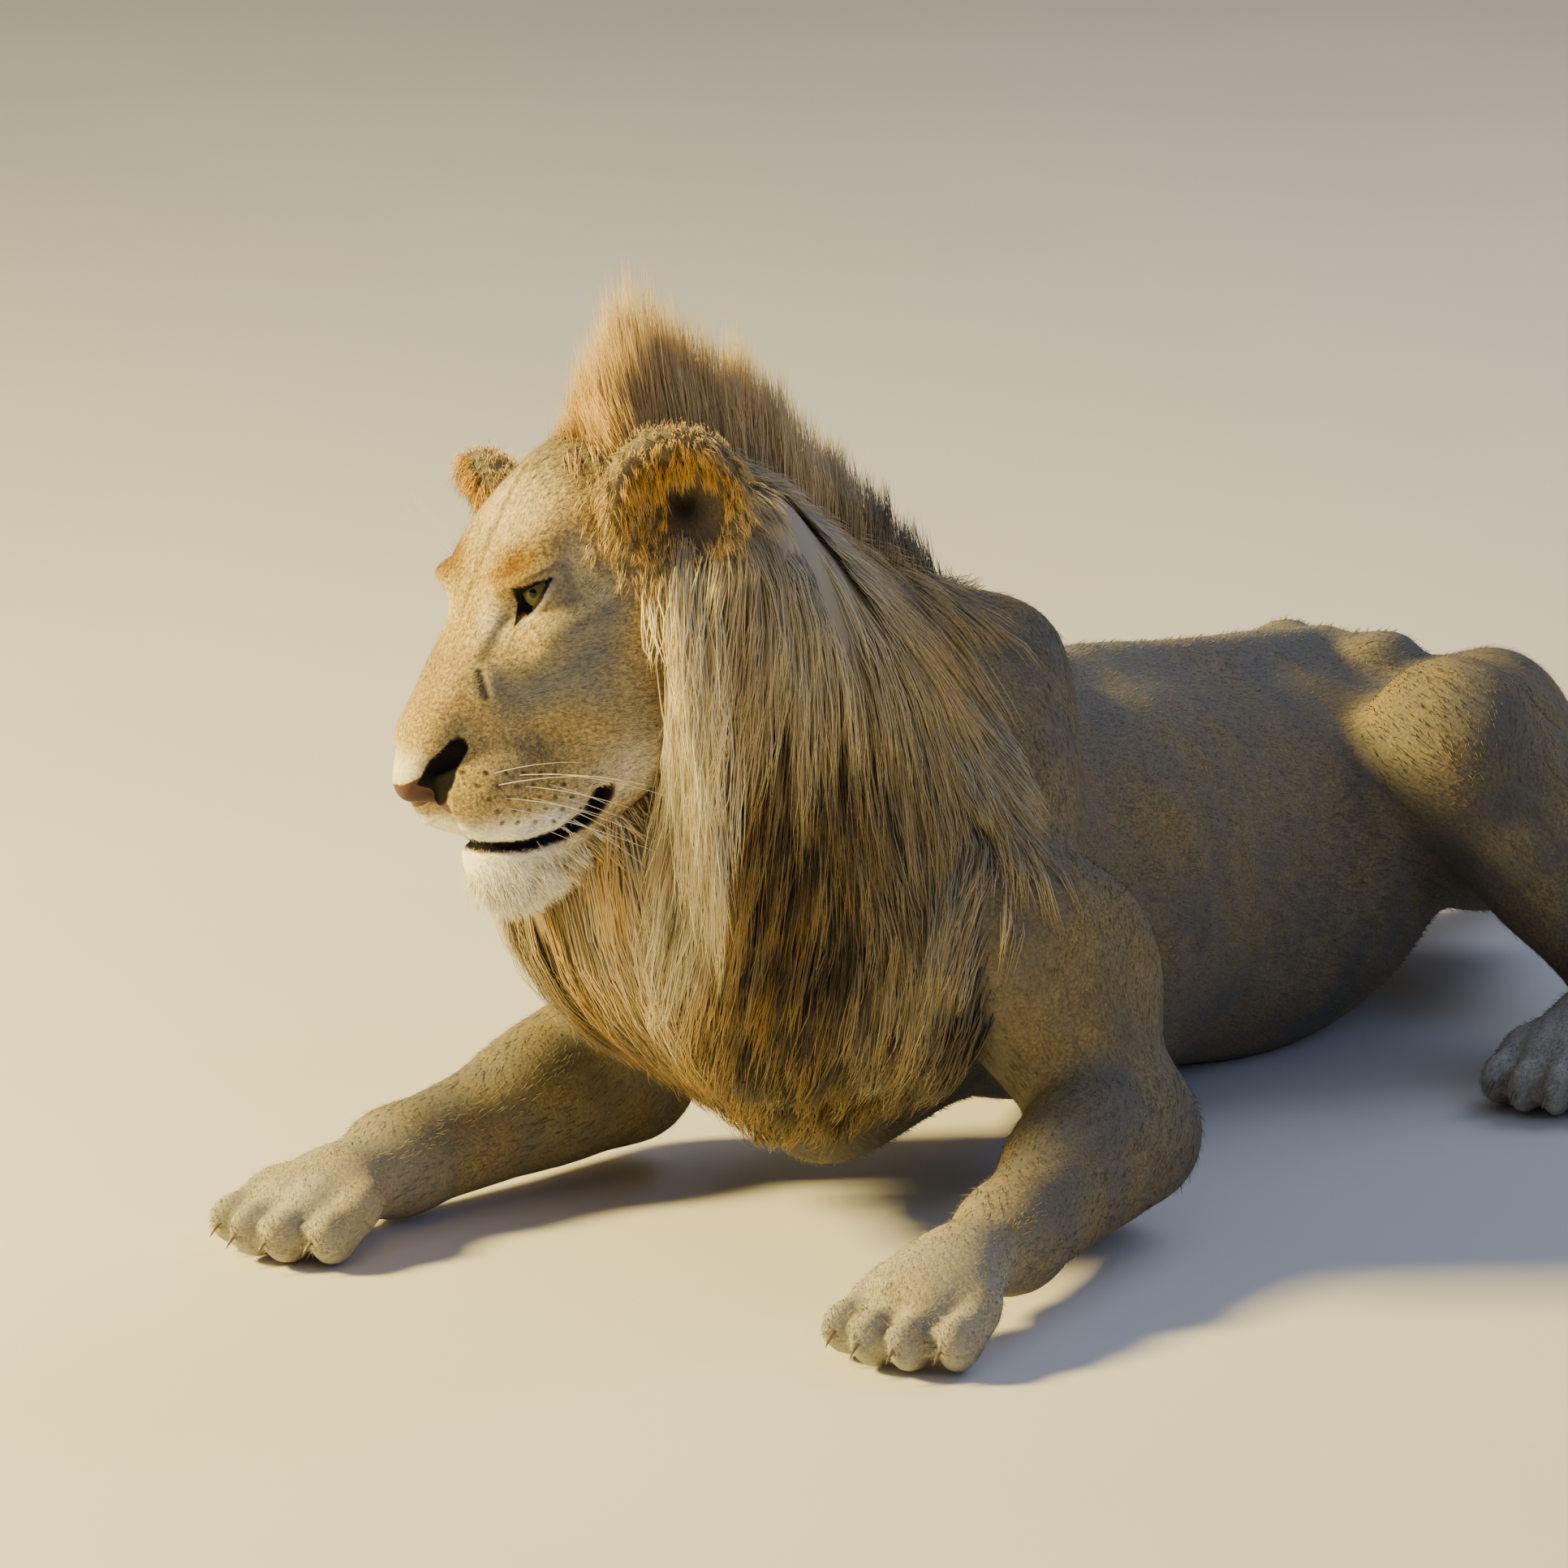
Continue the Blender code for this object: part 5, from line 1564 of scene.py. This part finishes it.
def root_uv(roots):
    """The unwrap place of the skin nearest to each root."""
    return point_uv[[SKIN_TREE.find(root)[1] for root in roots]]


def taper(n, k, width, full=0.35):
    """Widths of a hair: widest a third of the way along, fine at the tip."""
    t = np.linspace(0, 1, k)[:-1]
    shape = np.where(t < full, 0.7 + 0.3 * t / full, 1 - 0.75 * (t - full) / (1 - full))
    return width * shape[None] * rng.uniform(0.75, 1.25, (n, 1))


def mane_piece(name, lines, width, marks, out=None, material=mane_coat):
    """Hairs made a piece that takes its colours from marks and its unwrap from the skin under its roots."""
    n, k = lines.shape[:2]
    if out is None:
        out = field(lines[:, k // 2], ENVELOPE)[1]
    mesh = strand_mesh(name, lines, taper(n, k, width), out, root_uv(lines[:, 0]), marks, rng.random(n))
    print(name, n, "hairs", len(mesh.polygons), "triangles")
    return piece(name, mesh, [material])


# %% The long locks
def falling(p):
    """The pull on a lock: down and a little inwards, so that it hangs straight on the neck's slope."""
    return np.stack([-0.22 * np.sign(p[:, 0] + 0.02), np.full(len(p), -0.03), np.full(len(p), -1.0)], 1)


def hang(roots, lengths, steps, start, finish, hairs, spread, draw, curl, rough=0.25):
    """Locks of hairs that hang from roots over the outside of neck and mane."""
    guides = run_down(roots, lengths, steps, start, finish, falling, ENVELOPE)
    return bundle(guides, hairs, spread, draw, curl, ENVELOPE, rough)


PIECES, LOCKS, HAIRS = 3, 520, 12
under_middles = points[under_triangles].mean(1)
weight = (
    (field(under_middles, SKIN)[0] > -0.004) & (near_to(under_middles, EAR_MIDDLES, 0.044, 0.050) < 0.5)
)
weight = weight * (under_middles[:, 2] > 0.03) * (1 + 2 * near_to(under_middles, EAR_MIDDLES, 0.07, 0.12))
count = LOCKS // QUICK_SHARE
for i in range(PIECES):
    roots = grow(points, under_triangles, weight, count)[0]
    lengths = (0.050 + 0.135 * soft_step(roots[:, 2], 0.17, 0.36)) * rng.uniform(0.8, 1.25, count)
    finish = rng.uniform(-0.004, 0.008, count)
    lines = hang(roots, lengths, 5, MANE_DEPTH + 0.004, finish, HAIRS, 0.0068, 0.76, 0.0045, 0.45)
    marks = mane_marks(lines[:, 2])
    lock_dark = np.repeat(rng.random(count) ** 2, HAIRS)
    lock_tone = np.repeat(rng.random(count), HAIRS)
    marks["dark"] *= 0.62 + 0.7 * lock_dark
    add_mark(marks, "dark", 0.25 * lock_dark**2)
    add_mark(marks, "pale", 0.5 * (lock_tone - 0.62))
    add_mark(marks, "gold", 0.5 * (0.5 - lock_tone))
    mane_piece(f"mane_locks_{i + 1}", lines, 0.0017, marks)

# %% The short hair of the neck, and the pale lock that hangs from the ear
SHORT_START = 0.007  # depth at which its hairs start
x, y, z = middles.T
rear = 0.87 * np.abs(x) + 0.5 * y  # how far back along the side
front = (np.abs(x) > 0.07) & (rear < 0.122) & (y > -0.18) & (z > 0.20) & (z < 0.46) & ~under_mane
count, hairs = 260 // QUICK_SHARE, 9
roots = grow(p, skin_triangles, front * (1.2 - np.abs(x) / 0.18), count)[0]
lengths, finish = rng.uniform(0.06, 0.11, count), rng.uniform(-0.004, 0.006, count)
lines = hang(roots, lengths, 5, SHORT_START, finish, hairs, 0.0070, 0.65, 0.003, 0.45)
marks = mane_marks(lines[:, 2])
add_mark(marks, "dark", 0.25 * np.repeat(rng.random(count) ** 2, hairs))
# partly painted shade: greyer, as the shoulder looks in shade
add_mark(marks, "grey", 0.25)
mane_piece("mane_shoulders", lines, 0.0017, marks)

neck_line = np.array((np.array(HEAD @ Vector((-0.30, 0, 0.05))), (0, 0.12, 0.42)))
neck = (
    (line_distance(middles, neck_line)[0] < 0.22) & ~under_mane & (head < 0.2) & (rear < 0.115) & (z > 0.30)
)
neck &= near_to(middles, EAR_MIDDLES, 0.060, 0.068) < 0.5
furrow = np.exp(-((field(middles, MANE)[0] / 0.025) ** 2))
count, hairs = 1000 // QUICK_SHARE, 7
roots = grow(p, skin_triangles, neck * (1 + 2 * furrow), count)[0]
lengths = (0.05 + 0.05 * fade(roots[:, 2], 0.45, 0.62)) * rng.uniform(0.8, 1.2, count)
lines = hang(roots, lengths, 4, SHORT_START, rng.uniform(-0.002, 0.003, count), hairs, 0.006, 0.5, 0.001)
marks = mane_marks(lines[:, 1])
add_mark(marks, "dark", 0.3 * rng.random(len(lines)) ** 2)
mane_piece("mane_neck", lines, 0.0013, marks)

count, hairs = 90 // QUICK_SHARE, 13
drops = []
for side in (1, -1):
    top = np.array(HEAD @ Vector((-0.288, 0.118 * side, 0.062)))
    low = np.array(HEAD @ Vector((-0.238, 0.113 * side, -0.076)))
    roots = top + (low - top) * rng.random((count, 1)) ** 1.6
    roots = roots + rng.normal(0, 1, (count, 3)) * (0.009, 0.011, 0.012)
    lengths, finish = rng.uniform(0.09, 0.26, count), rng.uniform(-0.018, -0.004, count)
    straight_down = np.tile((0.0, 0.0, -1.0), (count, 1))
    drops.append(run_down(roots, lengths, 6, 0.010, finish, lambda p: straight_down, ENVELOPE))
lines = bundle(np.concatenate(drops), hairs, 0.0060, 0.84, 0.0060, ENVELOPE, 0.4)
marks = mane_marks(lines[:, 3])
# paler, with little dark and no grey: partly its own pale hair, partly painted light, as if the lamp fell
# full on it
marks["pale"] = np.clip(0.2 * marks["pale"] + rng.uniform(0.60, 1.0, len(lines)), 0, 1)
marks["gold"] = rng.uniform(0.2, 0.9, len(lines))
marks["dark"] *= 0.2
marks["grey"] *= 0
mane_piece("mane_cheek_locks", lines, 0.0015, marks)

# %% [markdown]
# ## The crest
# A brush of stiff hair stands on the nape from between the ears to the withers. It is highest at the front
# and leans a little back. Its hairs are placed straight from the table of roots and tips that shaped its
# solid.

# %% Crest
CREST_ROOTS, CREST_TIPS = (np.array([row[i] for row in CREST]) for i in (0, 1))
CREST_HALF = np.array([row[2] for row in CREST])


def along_crest(table, u):
    """A row of the table read between its entries."""
    i = np.minimum(u.astype(int), len(table) - 2)
    t = (u - i)[:, None] if table.ndim > 1 else u - i
    return table[i] * (1 - t) + table[i + 1] * t


count, hairs, steps = 1000 // QUICK_SHARE, 9, 4
u = rng.random(count) ** 0.85 * (len(CREST) - 1.001)
across = rng.uniform(-1, 1, count)
root, tip, half = along_crest(CREST_ROOTS, u), along_crest(CREST_TIPS, u), along_crest(CREST_HALF, u)
ahead = unit(along_crest(np.gradient(CREST_ROOTS, axis=0), u))
sideways = unit(np.cross(ahead, tip - root))
tall = (1.25 - 0.40 * across**2) * rng.uniform(0.84, 1.02, count)
foot = root + sideways * (across * half * 1.6)[:, None] - (tip - root) * (0.12 + 0.25 * across**2)[:, None]
head_of = root + (tip - root) * tall[:, None] + sideways * (across * half * 0.75)[:, None]
head_of += rng.normal(0, 0.007, head_of.shape)
t = np.linspace(0, 1, steps)[None, :, None]
guides = foot[:, None] * (1 - t) + head_of[:, None] * t
guides += (sideways * (across * half * 0.40)[:, None])[:, None] * np.sin(np.pi * t)
lines = bundle(guides, hairs, 0.0060, 0.50, 0.0026, None, 0.28)
crest_out = unit(
    sideways * (0.3 * across)[:, None] - ahead * rng.normal(1.6, 0.4, (count, 1)) + unit(tip - root) * 0.4
)
place_u = np.repeat(u, hairs)
streak = np.exp(-(((place_u - 2.9) / 0.7) ** 2)) * rng.random(len(lines))
marks = {
    "pale": 0.14 + 0.15 * rng.random(len(lines)) + 0.15 * soft_step(place_u, 0.8, 1.6),
    "gold": 0.80 - 0.03 * place_u, "grey": np.clip(0.06 * (place_u - 3), 0, 0.4), "dark": 0.30 * streak,
}
add_mark(
    marks, "dark", 0.40 * np.repeat(rng.random(count) ** 3, hairs) + 0.65 * soft_step(place_u, 4.6, 6.6)
)
crest = mane_piece("crest_hair", lines, 0.0014, marks, out=np.repeat(crest_out, hairs, axis=0))
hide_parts("mane_crest")

# %% [markdown]
# ## Ears, chin and tail
# The cup of each ear is full of golden hair that curls out over its front edge, with a pale fringe on the
# rim. The chin has a short white beard, the jaw a golden one, and the tail ends in a dark tuft.

# %% Hair in the ears
SUNK = 0.002  # how deep a hair is rooted
EAR_HAIRS = 6
ear_lines, ear_marks = [], []
for side in (1, -1):
    cup, size = HEAD @ ear_frame(side), EARS[side][2]
    c, faces_out = in_axes(middles, cup), facing @ np.array(cup.to_3x3())[:, 0] > 0.1
    within = (np.abs(c[:, 0]) < 0.05) & (np.hypot(c[:, 1] / size[0], c[:, 2] / size[1]) < 1.25)
    inner = within & faces_out & (np.hypot(c[:, 1] - 0.012, c[:, 2] + 0.010) > 0.027)
    count = 560 // QUICK_SHARE
    roots, normals = grow(p, skin_triangles, inner, count)[:2]
    c = in_axes(roots, cup)
    drift = np.stack([np.full(count, 0.25), 8 * c[:, 1], -0.5 + 0.9 * soft_step(c[:, 2], 0.030, 0.050)], 1)
    way = unit(normals * 0.5 + drift @ np.array(cup.to_3x3()).T + rng.normal(0, 0.22, roots.shape))
    guides = straight(roots - normals * SUNK, way, rng.uniform(0.008, 0.020, count), 3)
    guides[:, :, 2] -= 0.010 * np.linspace(0, 1, 3) ** 2
    ear_lines.append(bundle(guides, EAR_HAIRS, 0.0026, 0.5, 0.0020))
    fringe = soft_step(np.hypot(c[:, 1], c[:, 2]), 0.046, 0.060)
    fringe = np.maximum(fringe, 0.8 * fade(c[:, 2], -0.045, -0.005))
    ear_marks.append(np.repeat(fringe, EAR_HAIRS))
    count = 260 // QUICK_SHARE
    roots, normals = grow(p, skin_triangles, within & ~faces_out, count)[:2]
    up_and_back = HEAD_AXES @ np.array((-0.45, 0, 1.0)) * 0.9
    way = unit(normals * 0.25 + up_and_back + rng.normal(0, 0.18, roots.shape))
    guides = straight(roots - normals * SUNK, way, rng.uniform(0.004, 0.009, count), 3)
    ear_lines.append(bundle(guides, EAR_HAIRS, 0.0035, 0.5, 0.0006))
    ear_marks.append(np.full(EAR_HAIRS * count, 0.9))
lines, fringe = np.concatenate(ear_lines), np.concatenate(ear_marks)
marks = {"pale": 0.55 * fringe * rng.random(len(lines)), "gold": 0.90 - 0.45 * fringe,
         "grey": np.zeros(len(lines)), "dark": 0.35 * rng.random(len(lines)) ** 2}
out = np.array((0, 0, 1.0)) + rng.normal(0, 0.3, (len(lines), 3))
mane_piece("ear_hair", lines, 0.0010, marks, out=out)

# %% Chin and beard
q = both_sides(middles)
chin_weight = patch(q, (-0.070, 0.0, -0.136), (0.044, 0.050, 0.024)) * (q[:, 2] < -0.104)
beard_weight = (
    patch(q, (-0.165, 0.045, -0.128), (0.055, 0.040, 0.028)) * (q[:, 2] < -0.118) * (facing[:, 2] < 0.3)
)
JAW_HAIRS = 6
for name, weight, count, low, high, width, pale, hair in (
    ("chin_hair", chin_weight, 740, 0.010, 0.026, 0.0008, 1.0, tuft_coat),
    ("beard", beard_weight, 320, 0.02, 0.050, 0.0011, 0.35, mane_coat),
):
    count //= QUICK_SHARE
    roots, normals = grow(p, skin_triangles, weight, count)[:2]
    drift = normals * (0.1 + 0.45 * pale) + np.array((0.0, 0.12, -0.8)) + HEAD_GRAIN * 0.45
    way = unit(drift + rng.normal(0, 0.14, roots.shape))
    guides = straight(roots - normals * SUNK, way, rng.uniform(low, high, count), 4)
    lines = bundle(guides, JAW_HAIRS, 0.0030, 0.6, 0.0012)
    spread = rng.random(len(lines))
    marks = {"pale": pale + 0.15 * spread, "gold": (1 - pale) * 0.6 * spread, "grey": 0 * spread,
             "dark": 0.25 * (1 - pale) * spread**2}
    mane_piece(name, lines, width, marks, out=np.repeat(normals, JAW_HAIRS, axis=0), material=hair)

# %% Tuft of the tail
stations = np.array(TAIL_TUFT)
count, hairs, steps = 150 // QUICK_SHARE, 8, 5
u0 = rng.uniform(0, 1.5, count)
turn = rng.uniform(0, 2 * np.pi, count)
guides = np.empty((count, steps, 3))
for i in range(steps):
    u = np.minimum(u0 + i * 0.40, 2.999)
    row = along_crest(stations, u)
    way = unit(along_crest(np.gradient(stations[:, :3], axis=0), u))
    level = unit(np.cross(way, (0, 0, 1)))
    rise = np.cross(level, way)
    swell = (0.55 + 0.40 * rng.random(count)) * row[:, 3]
    spoke = level * np.cos(turn)[:, None] + rise * np.sin(turn)[:, None]
    guides[:, i] = row[:, :3] + spoke * swell[:, None]
lines = bundle(guides, hairs, 0.0035, 0.6, 0.001)
shade = rng.random(len(lines))
marks = {"pale": 0 * shade, "gold": 0.2 * shade, "grey": 0 * shade, "dark": 0.7 + 0.3 * shade}
up = np.tile((0.0, 0.0, 1.0), (len(lines), 1))
tuft = mane_piece("tail_tuft_hair", lines, 0.0022, marks, out=up)
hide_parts("tail_tuft")

# %% [markdown]
# ## Whiskers and claws
# Whiskers are stiff white bristles of keratin that grow from the dark spots on the lip, with a few over
# each eye. A resting cat keeps its claws in, so only their tips show between the hairs of the toes.

# %% Whiskers
bristle = mottled("white_keratin_whisker", 300, 2, "#E9E2D2", "#FBF8F0", {"Roughness": 0.35, "IOR": 1.55})
rows = []  # root and way in the head's axes, length and width
for side in (1, -1):
    for a, b in SPOTS[::2]:
        row = (FIRST_ROW - b) / SPOT_GAP
        reach = rng.uniform(0.095, 0.140) if row < 3.2 else rng.uniform(0.05, 0.09)
        rows.append(((a, 0.075 * side, b), (-0.80, 0.50 * side, -0.12 - 0.16 * row), reach, 0.0008))
    for i in range(5):  # over the eye
        root, way = (-0.160 - 0.004 * i, 0.046 * side, 0.122), (0.25 - 0.1 * i, 0.55 * side, 0.8)
        rows.append((root, way, 0.05 + 0.004 * i, 0.0005))
places, ways, reach, widths = (np.array(column) for column in zip(*rows))
starts, normals = on_face(places)
ways = unit(ways + rng.normal(0, 0.05, ways.shape)) @ HEAD_AXES.T
t = np.linspace(0, 1, 9)
lines = straight(starts, ways, reach, len(t)) + normals[:, None] * 0.010 * np.sin(np.pi * t * 0.6)[:, None]
lines[:, :, 2] -= (0.16 * reach)[:, None] * t**2
widths = widths[:, None] * (1 - 0.75 * t[:-1])
mesh = strand_mesh("whiskers", lines, widths, normals, root_uv(starts), {}, 0 * reach)
piece("whiskers", mesh, [bristle])
print("whiskers", len(rows))

# %% Claws
horn = mottled("claw_horn", 250, 3, "#4B3D30", "#A08C70", {"Roughness": 0.35, "IOR": 1.54})
starts, ways = [], []
for leg in LEGS:
    hind = leg in (LEFT_HINDLEG, RIGHT_HINDLEG)
    ankle, toes = Vector(leg[2]), Vector(leg[3])
    wrist = ankle.lerp(toes, FOOT_SHARE) if hind else ankle
    foot_frame = paw_frame(wrist, toes)
    for x, y in toe_places(wrist, toes, HINDPAW_WIDTH if hind else FOREPAW_WIDTH):
        starts.append(foot_frame @ Vector((x, y - 0.027, 0.030 - wrist.z)))
        ways.append(foot_frame.to_3x3() @ Vector((0, -1, -0.35)))
starts, ways = np.array(starts), unit(np.array(ways))
count, t = len(starts), np.linspace(0, 1, 5)
lines = straight(starts, ways, np.full(count, 0.018), len(t))
lines[:, :, 2] -= 0.006 * t**2
up = np.tile((0.0, 0.0, 1.0), (count, 1))
widths = np.tile(0.0055 * (1 - 0.7 * t[:-1]), (count, 1))
mesh = strand_mesh("claws", lines, widths, up, root_uv(starts), {}, np.zeros(count), 0.8)
piece("claws", mesh, [horn])
print("claws", count)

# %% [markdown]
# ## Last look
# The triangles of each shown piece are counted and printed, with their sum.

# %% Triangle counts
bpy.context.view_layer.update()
shown = [
    o for o in bpy.context.scene.objects
    if o.type == "MESH" and not o.hide_render and o.name != "studio_floor"
]
counts = {o.name: sum(len(f.vertices) - 2 for f in o.data.polygons) for o in shown}
print("triangles", counts, sum(counts.values()))
